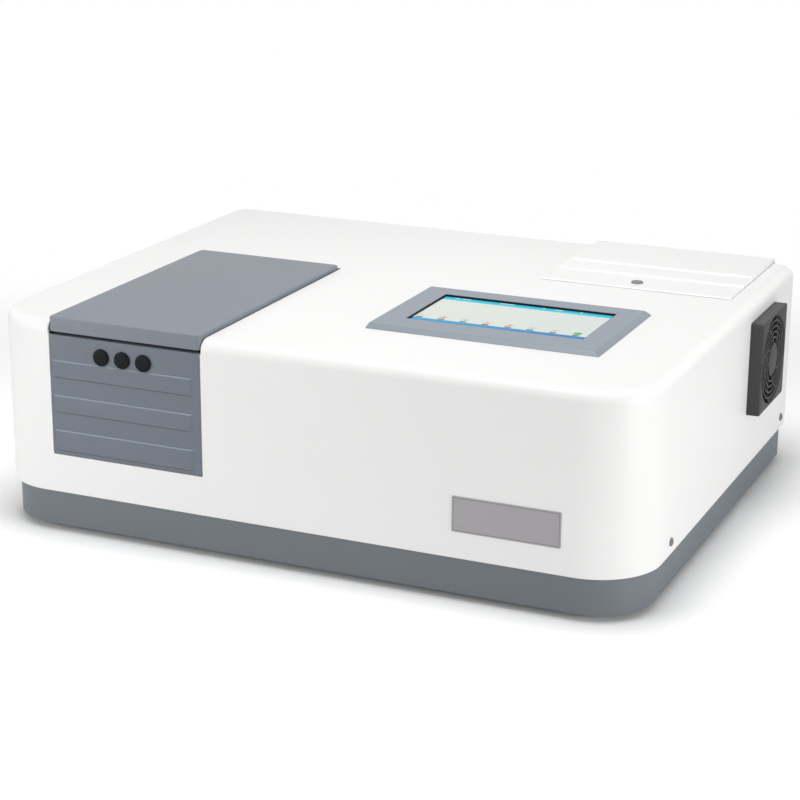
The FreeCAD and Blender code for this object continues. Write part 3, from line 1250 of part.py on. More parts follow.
# ---------------------------------------------------------------- rear panel
def make_rear_panel():
    """Connector plate that stands on the base's wall behind the opening."""
    x0 = REAR_PANEL_X
    x1 = REAR_PANEL_X + REAR_PANEL_W
    plate = block(x0, x1, REAR_Y0, REAR_Y1, LIP_Z, LIP_Z + REAR_PANEL_H)
    shelf = block(x0, x1, REAR_Y0 - BASE_WALL - BASE_INSET, REAR_Y0, LIP_Z, LIP_Z + REAR_PANEL_T)
    cuts = [rear_box(INLET_X, INLET_CAVITY[0] + 4, INLET_CAVITY[1] + 4, REAR_Y0 - 1, REAR_Y1 + 1),
            rear_box(SWITCH_X, SWITCH_SIZE[0] - 3, SWITCH_SIZE[1] - 3, REAR_Y0 - 1, REAR_Y1 + 1),
            rear_box(PORT_X, PORT_SIZE[0] + 0.4, PORT_SIZE[1] + 0.4, REAR_Y0 - 1, REAR_Y1 + 1)]
    x = REAR_PANEL_X + FUSE_X
    cuts.append(rod(FUSE_R * 0.8 + SOCKET_FIT, (x, REAR_Y0 - 1, REAR_ROW_Z),
                    (x, REAR_Y1 + 1, REAR_ROW_Z)))
    return join([plate, shelf]).cut(Part.makeCompound(cuts))


def rear_box(offset, width, height, y0, y1):
    """Block centred on the connector row at an offset along the panel."""
    x = REAR_PANEL_X + offset
    return block(x - width / 2, x + width / 2, y0, y1,
                 REAR_ROW_Z - height / 2, REAR_ROW_Z + height / 2)


def make_power_inlet():
    """Mains inlet socket with three blades."""
    face_y = Y_BACK - COVER_WALL / 3
    flange = rear_box(INLET_X, INLET_SIZE[0], INLET_SIZE[1], REAR_Y1, face_y)
    body = rear_box(INLET_X, INLET_CAVITY[0] + 3.6, INLET_CAVITY[1] + 3.6,
                    REAR_Y1 - INLET_BODY_D, REAR_Y1)
    cavity = rear_box(INLET_X, INLET_CAVITY[0], INLET_CAVITY[1],
                      face_y - INLET_CAVITY_DEPTH, face_y + 1)
    shell = join([flange, body]).cut(cavity)
    blades = []
    for i, up in ((-1, -2.0), (0, 2.0), (1, -2.0)):
        x = REAR_PANEL_X + INLET_X + i * 7.0
        blades.append(block(x - 1, x + 1, face_y - INLET_CAVITY_DEPTH - 1, face_y - 9,
                            REAR_ROW_Z + up - 2, REAR_ROW_Z + up + 2))
    return join([shell] + blades)


def switch_pivot():
    """Point on the rocker's axis."""
    return Vector(REAR_PANEL_X + SWITCH_X, REAR_Y1 - SWITCH_DEPTH / 3, REAR_ROW_Z)


def make_switch_body():
    """Frame of the mains switch."""
    face_y = Y_BACK - COVER_WALL / 3
    w, h = SWITCH_SIZE
    flange = rear_box(SWITCH_X, w, h, REAR_Y1, face_y)
    body = rear_box(SWITCH_X, w - 3.4, h - 3.4, REAR_Y1 - SWITCH_DEPTH, REAR_Y1)
    hollow = rear_box(SWITCH_X, w - 7, h - 6, REAR_Y1 - SWITCH_DEPTH + 3, face_y + 1)
    bored = join([flange, body]).cut(hollow)
    p = switch_pivot()
    return bored.cut(rod(1.5 + RUNNING, (p.x - w / 2 + 2.6, p.y, p.z), (p.x + w / 2 - 2.6, p.y, p.z)))


def make_power_switch():
    """Rocker of the mains switch, resting on its off side."""
    w, h = SWITCH_SIZE
    p = switch_pivot()
    half_w = (w - 7) / 2 - PART_GAP
    half_h = (h - 6) / 2 - 2.0
    reach = Y_BACK + 1.2 - p.y
    cap = block(p.x - half_w, p.x + half_w, p.y, p.y + reach, p.z - half_h, p.z + half_h)
    drum = rod(3.5, (p.x - half_w, p.y, p.z), (p.x + half_w, p.y, p.z))
    pin = rod(1.5, (p.x - w / 2 + 2.8, p.y, p.z), (p.x + w / 2 - 2.8, p.y, p.z))
    rocker = join([cap, drum, pin])
    rocker.rotate(p, Vector(1, 0, 0), -SWITCH_TILT)
    return rocker


def make_fuse_holder():
    """Round fuse holder with its cap."""
    x = REAR_PANEL_X + FUSE_X
    cap = rod(FUSE_R, (x, REAR_Y1, REAR_ROW_Z), (x, Y_BACK, REAR_ROW_Z))
    body = rod(FUSE_R * 0.8, (x, REAR_Y1 - 3 * FUSE_R, REAR_ROW_Z), (x, REAR_Y1, REAR_ROW_Z))
    slot = block(x - FUSE_R, x + FUSE_R, Y_BACK - 1, Y_BACK + 1, REAR_ROW_Z - 0.6, REAR_ROW_Z + 0.6)
    return join([cap, body]).cut(slot)


def make_data_port():
    """Data socket with an open cavity."""
    face_y = Y_BACK - COVER_WALL / 3
    w, h = PORT_SIZE
    body = rear_box(PORT_X, w, h, face_y - PORT_DEPTH - 4, face_y)
    flange = rear_box(PORT_X, w + 5, h + 5, REAR_Y1, REAR_Y1 + 1)
    cavity = rear_box(PORT_X, PORT_CAVITY[0], PORT_CAVITY[1], face_y - PORT_DEPTH, face_y + 1)
    return join([body, flange]).cut(cavity)


# ---------------------------------------------------------------- assembly
def all_nodes():
    """Every node's name with its shape."""
    return {
        "base_tray": make_base_tray(),
        "rubber_feet": make_rubber_feet(),
        "foot_screws": make_foot_screws(),
        "upper_cover": make_upper_cover(),
        "cover_screws": make_cover_screws(),
        "nameplate": make_nameplate(),
        "sample_lid": make_sample_lid(),
        "lid_liner": make_lid_liner(),
        "lid_seal": make_lid_seal(),
        "lid_hinge_brackets": make_hinge_brackets(),
        "lid_hinge_pins": make_hinge_pins(),
        "front_panel": make_front_panel(),
        "port_plugs": make_port_plugs(),
        "sample_chamber": make_sample_chamber(),
        "chamber_windows": make_chamber_windows(),
        "guide_rods": make_guide_rods(),
        "cell_carriage": make_cell_carriage(),
        "reference_holder": make_reference_holder(),
        "lead_screw": make_lead_screw(),
        "carriage_motor": make_carriage_motor(),
        "optical_bench": make_optical_bench(),
        "bench_mounts": make_bench_mounts(),
        "slit_plates": make_slit_plates(),
        "mirror_stands": make_mirror_stands(),
        "collimating_mirrors": make_collimating_mirrors(),
        "grating_motor": upright_motor(GRATING_X, GRATING_Y),
        "grating_turntable": make_grating_turntable(),
        "grating": make_grating(),
        "fold_mirrors": make_fold_mirrors(),
        "detector_housings": make_detector_housings(),
        "detector_boards": make_detector_boards(),
        "filter_wheel": make_filter_wheel(),
        "filter_glasses": make_filter_glasses(),
        "filter_wheel_motor": make_filter_wheel_motor(),
        "source_mirror_motor": upright_motor(SOURCE_MIRROR_X, LIGHT_Y),
        "source_mirror": make_source_mirror(),
        "lamp_bracket": make_lamp_bracket(),
        "deuterium_lamp": lamp(DEUTERIUM_X, DEUTERIUM_Y, DEUTERIUM_R, DEUTERIUM_H),
        "halogen_lamp": lamp(HALOGEN_X, HALOGEN_Y, HALOGEN_R, HALOGEN_H),
        "lamp_cover": make_lamp_cover(),
        "lamp_cover_screw": make_lamp_cover_screw(),
        "screen_bezel": make_screen_bezel(),
        "touch_glass": make_touch_glass(),
        "lcd_module": make_lcd_module(),
        "display_board": make_display_board(),
        "fan_frame": make_fan_frame(),
        "fan_rotor": make_fan_rotor(),
        "fan_guard": make_fan_guard(),
        "fan_screws": make_fan_screws(),
        "power_supply": make_power_supply(),
        "main_board": make_main_board(),
        "board_standoffs": make_board_standoffs(),
        "rear_panel": make_rear_panel(),
        "power_inlet": make_power_inlet(),
        "switch_body": make_switch_body(),
        "power_switch": make_power_switch(),
        "fuse_holder": make_fuse_holder(),
        "data_port": make_data_port(),
    }


os.makedirs("parts", exist_ok=True)
for name, shape in all_nodes().items():
    placed = shape.copy()
    placed.translate(ORIGIN_SHIFT)
    placed.exportStep("parts/" + name + ".step")
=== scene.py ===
# %% [markdown]
# # A benchtop spectrophotometer, dressed in Blender
#
# The instrument is a white housing on a grey tray, with a grey sample lid on its left, a touch
# screen in its top, a stepped lamp hatch at the back and a fan guard on its right side. The
# construction comes in as a fixed frame: every solid is already at its real size and place.
# This lesson gives each visible piece a surface with real edges, and a finish made of nodes.

# %% Load the frame
import json
import math

import bmesh
import bpy
import numpy as np
from mathutils import Matrix, Vector

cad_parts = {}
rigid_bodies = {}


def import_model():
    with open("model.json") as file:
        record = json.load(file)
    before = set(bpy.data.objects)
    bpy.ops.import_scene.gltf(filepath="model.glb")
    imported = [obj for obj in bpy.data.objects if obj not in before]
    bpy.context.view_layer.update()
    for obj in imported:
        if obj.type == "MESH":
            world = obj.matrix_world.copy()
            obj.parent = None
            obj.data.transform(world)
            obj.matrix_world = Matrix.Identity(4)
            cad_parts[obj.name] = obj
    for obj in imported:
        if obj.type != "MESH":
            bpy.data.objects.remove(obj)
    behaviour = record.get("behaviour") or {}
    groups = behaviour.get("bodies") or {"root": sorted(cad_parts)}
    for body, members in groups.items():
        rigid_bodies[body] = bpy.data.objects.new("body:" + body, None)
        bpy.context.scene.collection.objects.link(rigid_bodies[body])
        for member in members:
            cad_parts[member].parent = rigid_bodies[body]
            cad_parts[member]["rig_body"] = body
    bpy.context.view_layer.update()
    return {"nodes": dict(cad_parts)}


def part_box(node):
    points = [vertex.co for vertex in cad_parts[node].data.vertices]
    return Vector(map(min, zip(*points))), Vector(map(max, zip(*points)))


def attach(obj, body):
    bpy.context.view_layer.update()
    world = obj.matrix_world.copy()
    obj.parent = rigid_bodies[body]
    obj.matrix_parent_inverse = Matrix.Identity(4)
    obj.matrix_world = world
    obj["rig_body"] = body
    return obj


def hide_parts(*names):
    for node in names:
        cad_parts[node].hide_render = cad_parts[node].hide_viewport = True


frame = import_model()
NODES = frame["nodes"]
MM = 0.001


def span(node):
    """Lowest and highest corner of a node, as numpy rows in millimetres."""
    return np.array([tuple(corner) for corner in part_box(node)]) / MM


# %% [markdown]
# ## The camera
#
# The view is the one a person has who stands to the right of the instrument and looks down on
# it: a long lens from about two metres, so that the sides hardly converge. The camera's place
# is given from the centre of the table under the instrument, and its aim by three angles.

# %% Camera
scene = bpy.context.scene
CAMERA_PLACE = Vector((0.7074, -1.6399, 0.6493))
CAMERA_AZIMUTH = math.radians(23.74)
CAMERA_ELEVATION = math.radians(17.595)
CAMERA_ROLL = math.radians(0.325)
LENS = 94.63


def aimed_camera():
    """Camera whose axes are worked out from azimuth, elevation and roll."""
    a, e = CAMERA_AZIMUTH, CAMERA_ELEVATION
    forward = Vector((-math.sin(a) * math.cos(e), math.cos(a) * math.cos(e), -math.sin(e)))
    right = Vector((math.cos(a), math.sin(a), 0))
    up = right.cross(forward)
    x_axis = right * math.cos(CAMERA_ROLL) + up * math.sin(CAMERA_ROLL)
    y_axis = up * math.cos(CAMERA_ROLL) - right * math.sin(CAMERA_ROLL)
    turn = Matrix((x_axis, y_axis, -forward)).transposed()
    data = bpy.data.cameras.new("camera")
    data.lens = LENS
    data.sensor_width = 36
    data.clip_end = 50
    camera = bpy.data.objects.new("camera", data)
    camera.matrix_world = Matrix.Translation(CAMERA_PLACE) @ turn.to_4x4()
    scene.collection.objects.link(camera)
    return camera


scene.camera = aimed_camera()
print("camera:", scene.camera.data.lens, "mm lens")

# %% [markdown]
# ## The world
#
# A product table stands in a white room. The world could be one plain strength, but then either
# the light is too flat or the background is grey. So it gives a soft grey light to the object,
# and it is pure white where the camera, a gloss or a clear glass looks straight at it.

# %% World
WORLD_LIGHT = 0.35


def white_where_seen(nodes, links):
    """Socket that is 1 for camera, glossy and transmission rays, and 0 for the rest."""
    path = nodes.new("ShaderNodeLightPath")
    seen = path.outputs["Is Camera Ray"]
    for other in ("Is Glossy Ray", "Is Transmission Ray"):
        highest = nodes.new("ShaderNodeMath")
        highest.operation = "MAXIMUM"
        links.new(seen, highest.inputs[0])
        links.new(path.outputs[other], highest.inputs[1])
        seen = highest.outputs[0]
    return seen


def studio_world():
    """Strength = WORLD_LIGHT for the light it gives, and 1 where it is seen."""
    world = bpy.data.worlds.new("studio")
    world.use_nodes = True
    nodes, links = world.node_tree.nodes, world.node_tree.links
    nodes.clear()
    strength = nodes.new("ShaderNodeMapRange")
    strength.inputs["To Min"].default_value = WORLD_LIGHT
    strength.inputs["To Max"].default_value = 1.0
    background = nodes.new("ShaderNodeBackground")
    background.inputs["Color"].default_value = (1, 1, 1, 1)
    end = nodes.new("ShaderNodeOutputWorld")
    links.new(white_where_seen(nodes, links), strength.inputs["Value"])
    links.new(strength.outputs["Result"], background.inputs["Strength"])
    links.new(background.outputs[0], end.inputs["Surface"])
    return world


scene.view_settings.view_transform = "Standard"
scene.world = studio_world()
print("world light:", WORLD_LIGHT)

# %% [markdown]
# ## The floor
#
# The table is a white sweep with no horizon. A curved backdrop would do, but it bounces light on
# the object's back. A flat floor that fades to plain white some way off does the same job: near
# the object it is a real surface that keeps the shadow, and far off it meets the white world.

# %% Floor
FLOOR_HALF = 12.0
FLOOR_TONE = 0.9
FLOOR_TONE_SEEN = 1.25
FADE_NEAR = 0.5
FADE_FAR = 0.9


def floor_material():
    """White floor, brighter to the camera, that meets the white world without a line."""
    m = bpy.data.materials.new("table_white")
    m.use_nodes = True
    n, l = m.node_tree.nodes, m.node_tree.links
    n.clear()
    path = n.new("ShaderNodeLightPath")
    tone = n.new("ShaderNodeMapRange")
    tone.inputs["To Min"].default_value = FLOOR_TONE
    tone.inputs["To Max"].default_value = FLOOR_TONE_SEEN
    diffuse = n.new("ShaderNodeBsdfDiffuse")
    place = n.new("ShaderNodeTexCoord")
    away = n.new("ShaderNodeVectorMath")
    away.operation = "LENGTH"
    fade = n.new("ShaderNodeMapRange")
    fade.interpolation_type = "SMOOTHSTEP"
    fade.inputs["From Min"].default_value = FADE_NEAR
    fade.inputs["From Max"].default_value = FADE_FAR
    far = n.new("ShaderNodeMath")
    far.operation = "MULTIPLY"
    white = n.new("ShaderNodeEmission")
    mix = n.new("ShaderNodeMixShader")
    end = n.new("ShaderNodeOutputMaterial")
    l.new(path.outputs["Is Camera Ray"], tone.inputs["Value"])
    l.new(tone.outputs["Result"], diffuse.inputs["Color"])
    l.new(place.outputs["Object"], away.inputs[0])
    l.new(away.outputs["Value"], fade.inputs["Value"])
    l.new(fade.outputs["Result"], far.inputs[0])
    l.new(path.outputs["Is Camera Ray"], far.inputs[1])
    l.new(far.outputs[0], mix.inputs["Fac"])
    l.new(diffuse.outputs[0], mix.inputs[1])
    l.new(white.outputs[0], mix.inputs[2])
    l.new(mix.outputs[0], end.inputs["Surface"])
    return m


floor_mesh = bpy.data.meshes.new("floor")
floor_mesh.from_pydata([(-FLOOR_HALF, -FLOOR_HALF, 0), (FLOOR_HALF, -FLOOR_HALF, 0),
                        (FLOOR_HALF, FLOOR_HALF, 0), (-FLOOR_HALF, FLOOR_HALF, 0)], [],
                       [(0, 1, 2, 3)])
floor = bpy.data.objects.new("floor", floor_mesh)
floor_mesh.materials.append(floor_material())
scene.collection.objects.link(floor)
print("floor fades from", FADE_NEAR, "to", FADE_FAR, "m")

# %% [markdown]
# ## Lamps
#
# One broad lamp hangs straight above, so that the floor darkens close to the tray. A low lamp at
# the front left and another at the right graze the walls, and they don't fill that shadow. Lamps
# are chosen over a brighter world because they leave a clear light side and dark side.

# %% Lamps
def soft_lamp(name, place, target, size, power):
    """Square area lamp at a place, aimed at a target."""
    data = bpy.data.lights.new(name, "AREA")
    data.shape = "SQUARE"
    data.size = size
    data.energy = power
    lamp = bpy.data.objects.new(name, data)
    aim = Vector(target) - Vector(place)
    lamp.matrix_world = (Matrix.Translation(Vector(place))
                         @ aim.to_track_quat("-Z", "Y").to_matrix().to_4x4())
    scene.collection.objects.link(lamp)


soft_lamp("lamp_above", (0.05, -0.17, 1.25), (0.0, -0.1, 0.1), 0.8, 8.6)
soft_lamp("lamp_front_left", (-0.85, -0.95, 0.28), (-0.25, -0.15, 0.1), 0.5, 3.9)
soft_lamp("lamp_right", (1.5, -0.5, 0.25), (0.2, 0, 0.1), 0.5, 8.0)
print("lamps:", len(bpy.data.lights))

# %% [markdown]
# ## Shared effects as node groups
#
# Moulded plastic, painted sheet and brushed metal differ in a few numbers, not in kind. So each
# effect is a group with named inputs, built once and set into each material with its own
# values. The shader stays in the material.

# %% Group helpers
def new_group(name, inputs, outputs):
    """Shader group with named sockets; returns the tree and its two end nodes."""
    tree = bpy.data.node_groups.new(name, "ShaderNodeTree")
    for label, kind, value in inputs:
        socket = tree.interface.new_socket(label, in_out="INPUT", socket_type=kind)
        if value is not None:
            socket.default_value = value
    for label, kind in outputs:
        tree.interface.new_socket(label, in_out="OUTPUT", socket_type=kind)
    return tree, tree.nodes.new("NodeGroupInput"), tree.nodes.new("NodeGroupOutput")


def math_node(tree, operation, a, b=None):
    """Math node whose inputs are sockets or numbers; returns its output."""
    node = tree.nodes.new("ShaderNodeMath")
    node.operation = operation
    for socket, value in zip(node.inputs, (a, b)):
        if value is None:
            continue
        if isinstance(value, (int, float)):
            socket.default_value = value
        else:
            tree.links.new(value, socket)
    return node.outputs[0]


def noise_node(tree, vector, scale, detail):
    """Noise texture's value on a vector at a scale, which may be a socket."""
    node = tree.nodes.new("ShaderNodeTexNoise")
    node.inputs["Detail"].default_value = detail
    tree.links.new(vector, node.inputs["Vector"])
    if isinstance(scale, (int, float)):
        node.inputs["Scale"].default_value = scale
    else:
        tree.links.new(scale, node.inputs["Scale"])
    return node.outputs["Fac"]


def shaded(tree, color, factor):
    """Colour times a factor that varies about 1."""
    node = tree.nodes.new("ShaderNodeVectorMath")
    node.operation = "SCALE"
    tree.links.new(color, node.inputs[0])
    tree.links.new(factor, node.inputs["Scale"])
    return node.outputs[0]


print("group helpers ready")

# %% [markdown]
# ## Moulded skin
#
# A moulded part has a spark texture: pits of half a millimetre, a slow change of tone and a gloss
# that follows the grain. A texture wrapped round the part would stretch at its corners, so noise
# and cells on object coordinates are used: they run through the part as grain runs through wood.

# %% Moulded skin
MOTTLE_SCALE = 14.0
GLOSS_CHANGE = 0.12
NOISE_SHARE = 0.6


def build_moulded_skin():
    """Tone = colour x (1 + mottle x slow noise); height = fine noise; gloss follows the grain."""
    tree, start, end = new_group(
        "moulded_skin",
        [("Vector", "NodeSocketVector", None), ("Color", "NodeSocketColor", (0.5, 0.5, 0.5, 1)),
         ("Grain", "NodeSocketFloat", 1800.0), ("Mottle", "NodeSocketFloat", 0.04),
         ("Roughness", "NodeSocketFloat", 0.45)],
        [("Color", "NodeSocketColor"), ("Roughness", "NodeSocketFloat"),
         ("Height", "NodeSocketFloat")])
    vector = start.outputs["Vector"]
    slow = math_node(tree, "SUBTRACT", noise_node(tree, vector, MOTTLE_SCALE, 3.0), 0.5)
    fine = noise_node(tree, vector, start.outputs["Grain"], 2.0)
    pits = tree.nodes.new("ShaderNodeTexVoronoi")
    pits.inputs["Randomness"].default_value = 1.0
    tree.links.new(vector, pits.inputs["Vector"])
    tree.links.new(start.outputs["Grain"], pits.inputs["Scale"])
    factor = math_node(tree, "ADD", math_node(tree, "MULTIPLY", slow, start.outputs["Mottle"]), 1.0)
    tree.links.new(shaded(tree, start.outputs["Color"], factor), end.inputs["Color"])
    gloss = math_node(tree, "MULTIPLY", math_node(tree, "SUBTRACT", fine, 0.5), GLOSS_CHANGE)
    tree.links.new(math_node(tree, "ADD", start.outputs["Roughness"], gloss),
                   end.inputs["Roughness"])
    height = math_node(tree, "ADD", math_node(tree, "MULTIPLY", fine, NOISE_SHARE),
                       math_node(tree, "MULTIPLY", pits.outputs["Distance"], 1 - NOISE_SHARE))
    tree.links.new(height, end.inputs["Height"])
    return tree


MOULDED_SKIN = build_moulded_skin()
print("group:", MOULDED_SKIN.name)

# %% [markdown]
# ## Brushed lines
#
# Drawn or brushed metal has fine scratches along one direction. Stretching the coordinates before
# one noise gives them: little change along the draw and much across it. Tone, gloss and height
# all follow the same lines, as they do on metal.

# %% Brushed lines
def build_brushed_lines():
    """Noise stretched along one direction: tone, gloss and height all follow the lines."""
    tree, start, end = new_group(
        "brushed_lines",
        [("Vector", "NodeSocketVector", None), ("Color", "NodeSocketColor", (0.7, 0.7, 0.7, 1)),
         ("Stretch", "NodeSocketVector", (40.0, 900.0, 900.0)),
         ("Contrast", "NodeSocketFloat", 0.15), ("Roughness", "NodeSocketFloat", 0.35)],
        [("Color", "NodeSocketColor"), ("Roughness", "NodeSocketFloat"),
         ("Height", "NodeSocketFloat")])
    stretch = tree.nodes.new("ShaderNodeVectorMath")
    stretch.operation = "MULTIPLY"
    tree.links.new(start.outputs["Vector"], stretch.inputs[0])
    tree.links.new(start.outputs["Stretch"], stretch.inputs[1])
    lines = noise_node(tree, stretch.outputs[0], 1.0, 4.0)
    centred = math_node(tree, "SUBTRACT", lines, 0.5)
    change = math_node(tree, "MULTIPLY", centred, start.outputs["Contrast"])
    tree.links.new(shaded(tree, start.outputs["Color"], math_node(tree, "ADD", change, 1.0)),
                   end.inputs["Color"])
    tree.links.new(math_node(tree, "ADD", start.outputs["Roughness"], change),
                   end.inputs["Roughness"])
    tree.links.new(lines, end.inputs["Height"])
    return tree


BRUSHED_LINES = build_brushed_lines()
print("group:", BRUSHED_LINES.name)

# %% [markdown]
# ## Materials from groups
#
# Each finish is one Principled shader fed by a group that reads Object coordinates. These are
# metres here, so a grain of 1800 is about half a millimetre. Plain numbers, such as the metallic
# share, are set on the shader's own socket, and only what changes over the surface is linked.

# %% Material helpers
BUMP_STRENGTH = 0.6
SCRATCH_DEPTH = 0.000004
GLASS_ROUGH = 0.02
GLASS_CLEAR = 0.92
QUARTZ_IOR = 1.46


def finish_base(name):
    """Material with one Principled shader, its coordinates and its tree."""
    m = bpy.data.materials.new(name)
    m.use_nodes = True
    tree = m.node_tree
    shader = tree.nodes["Principled BSDF"]
    place = tree.nodes.new("ShaderNodeTexCoord")
    return m, tree, shader, place.outputs["Object"]


def group_node(tree, group, place, settings):
    """Group set into a tree, fed by the coordinates and given its own values."""
    node = tree.nodes.new("ShaderNodeGroup")
    node.node_tree = group
    tree.links.new(place, node.inputs["Vector"])
    for label, value in settings.items():
        node.inputs[label].default_value = value
    return node


def grouped_finish(name, group, color, rough, depth, settings, metallic=0.0, shine=0.5):
    """Finish from a group: colour, roughness and a bump whose depth is in metres."""
    m, tree, shader, place = finish_base(name)
    node = group_node(tree, group, place, {"Color": (*color, 1), "Roughness": rough, **settings})
    bump = tree.nodes.new("ShaderNodeBump")
    bump.inputs["Strength"].default_value = BUMP_STRENGTH
    bump.inputs["Distance"].default_value = depth
    tree.links.new(node.outputs["Height"], bump.inputs["Height"])
    tree.links.new(node.outputs["Color"], shader.inputs["Base Color"])
    tree.links.new(node.outputs["Roughness"], shader.inputs["Roughness"])
    tree.links.new(bump.outputs["Normal"], shader.inputs["Normal"])
    shader.inputs["Metallic"].default_value = metallic
    shader.inputs["Specular IOR Level"].default_value = shine
    m.diffuse_color = (*color, 1)
    return m


def plastic(name, color, rough, grain=1800.0, depth=0.00002, mottle=0.04, shine=0.5):
    """Moulded or painted surface; `shine` is the strength of its plain reflection."""
    return grouped_finish(name, MOULDED_SKIN, color, rough, depth,
                          {"Grain": grain, "Mottle": mottle}, shine=shine)


def metal(name, color, rough, stretch=(40.0, 900.0, 900.0), contrast=0.15):
    """Drawn or brushed metal."""
    return grouped_finish(name, BRUSHED_LINES, color, rough, SCRATCH_DEPTH,
                          {"Stretch": stretch, "Contrast": contrast}, metallic=1.0)


def clear_glass(name, tint):
    """Clear or tinted glass."""
    m, _, shader, _ = finish_base(name)
    shader.inputs["Base Color"].default_value = (*tint, 1)
    shader.inputs["Roughness"].default_value = GLASS_ROUGH
    shader.inputs["Transmission Weight"].default_value = GLASS_CLEAR
    shader.inputs["IOR"].default_value = QUARTZ_IOR
    m.diffuse_color = (*tint, 0.4)
    return m


print("material helpers ready")

# %% [markdown]
# ## Plastics and rubbers
#
# The housing is satin white, the tray and the lid are two greys, and the screen frame is a paler
# and glossier one. The black pieces differ mostly in gloss: a rubber foot is dull, a pressed cap
# has hardly any shine, and the fan guard has some.

# %% Plastics and rubbers
FINISH = {
    "housing_white": plastic("housing_white", (0.925, 0.922, 0.915), 0.42, 1500.0, 0.000012, 0.012),
    "tray_grey": plastic("tray_grey", (0.165, 0.185, 0.205), 0.5, 1900.0, 0.00003),
    "lid_grey": plastic("lid_grey", (0.205, 0.23, 0.265), 0.46, 2100.0, 0.00003),
    "bezel_grey": plastic("bezel_grey", (0.238, 0.275, 0.325), 0.38, 2600.0, 0.000012),
    "guard_black": plastic("guard_black", (0.042, 0.040, 0.043), 0.5, 1700.0, 0.00003,
                           shine=0.4),
    "plug_black": plastic("plug_black", (0.006, 0.008, 0.010), 0.5, 2400.0, 0.00001,
                          shine=0.12),
    "bolt_grey": plastic("bolt_grey", (0.20, 0.20, 0.20), 0.4, 2600.0, 0.00001),
    "socket_black": plastic("socket_black", (0.02, 0.02, 0.021), 0.4, 2000.0, 0.00002),
    "foot_rubber": plastic("foot_rubber", (0.022, 0.022, 0.022), 0.75, 1300.0, 0.00004),
    "seal_foam": plastic("seal_foam", (0.02, 0.02, 0.02), 0.9, 900.0, 0.00015, 0.2),
    "chamber_black": plastic("chamber_black", (0.018, 0.018, 0.02), 0.62, 1500.0, 0.00003),
    "board_green": plastic("board_green", (0.02, 0.16, 0.07), 0.35, 320.0, 0.00004, 0.3),
}
print("plastics:", len(FINISH))

# %% [markdown]
# ## Metals and glasses
#
# The inner parts show through the open lid or hatch and in an exploded view, so they get their
# own finish too: drawn steel, cast metal, plated sheet, mirror coats, ruled lines on the grating,
# quartz and a tinted filter glass.

# %% Metals and glasses
FINISH.update({
    "bright_steel": metal("bright_steel", (0.62, 0.62, 0.62), 0.28),
    "bench_cast": metal("bench_cast", (0.42, 0.43, 0.44), 0.55, (300.0, 300.0, 300.0), 0.3),
    "zinc_sheet": metal("zinc_sheet", (0.55, 0.56, 0.57), 0.4, (60.0, 60.0, 500.0), 0.2),
    "mirror_coat": metal("mirror_coat", (0.9, 0.91, 0.92), 0.06, (200.0, 200.0, 200.0), 0.02),
    "grating_lines": metal("grating_lines", (0.62, 0.68, 0.78), 0.2, (2.0, 5000.0, 2.0), 0.5),
    "quartz": clear_glass("quartz", (0.93, 0.96, 0.98)),
    "filter_amber": clear_glass("filter_amber", (0.75, 0.42, 0.12)),
})
print("finishes:", len(FINISH))

# %% [markdown]
# ## Surfaces worked out with numpy
#
# The parts with a shape of their own are computed. Each one is a grid of points: the rows are
# closed rings, and the columns run around them. A tube of rings can be capped at both ends, or
# joined end to end so that it makes a frame with a hole. Nothing is modelled vertex by vertex.

# %% Ring tools
def loft(rings, joined=False):
    """Vertices, quads and caps of the skin through rings of points (ring, point, xyz)."""
    count, around, _ = rings.shape
    row = np.arange(count if joined else count - 1)[:, None]
    column = np.arange(around)[None, :]
    after, beside = (row + 1) % count, (column + 1) % around
    corners = [row * around + column, row * around + beside,
               after * around + beside, after * around + column]
    quads = np.stack(np.broadcast_arrays(*corners), -1).reshape(-1, 4)
    ends = np.zeros((0, around), int) if joined else np.stack(
        [np.arange(around), np.arange(around) + (count - 1) * around])
    return rings.reshape(-1, 3), quads, ends


def rounded_ring(low, high, radius, per_corner=8):
    """Rectangle with quarter-circle corners: centre of each corner plus radius x (cos, sin)."""
    turn = (np.arange(4)[:, None] * math.pi / 2
            + np.linspace(0, math.pi / 2, per_corner)).ravel()
    side_x = np.repeat([high[0] - radius, low[0] + radius, low[0] + radius, high[0] - radius],
                       per_corner)
    side_y = np.repeat([high[1] - radius, high[1] - radius, low[1] + radius, low[1] + radius],
                       per_corner)
    return np.stack([side_x + radius * np.cos(turn), side_y + radius * np.sin(turn)], -1)


def placed(outline, height, axis=2):
    """Flat ring of points lifted to a height along an axis."""
    return np.insert(outline, axis, height, axis=1)


def turned(profile, centre, axis, around=48):
    """Profile of (distance along the axis, radius) turned about an axis through a centre."""
    angle = np.linspace(0, 2 * math.pi, around, endpoint=False)
    along, radius = np.asarray(profile, float)[:, :1], np.asarray(profile, float)[:, 1:]
    first, second = ((1, 2), (2, 0), (0, 1))[axis]
    rings = np.zeros((len(profile), around, 3))
    rings[..., axis] = along
    rings[..., first] = radius * np.cos(angle)
    rings[..., second] = radius * np.sin(angle)
    return rings + np.asarray(centre, float)


print("ring tools ready")

# %% [markdown]
# ## From rings to an object
#
# One helper turns lofts into a finished object: it scales millimetres to metres, welds the
# seams, points the faces outwards, marks sharp folds and hands the object to the body of its
# frame node. The object itself stays at the origin, unturned, with its place in its mesh.

# %% Object builder
FOLD = 32


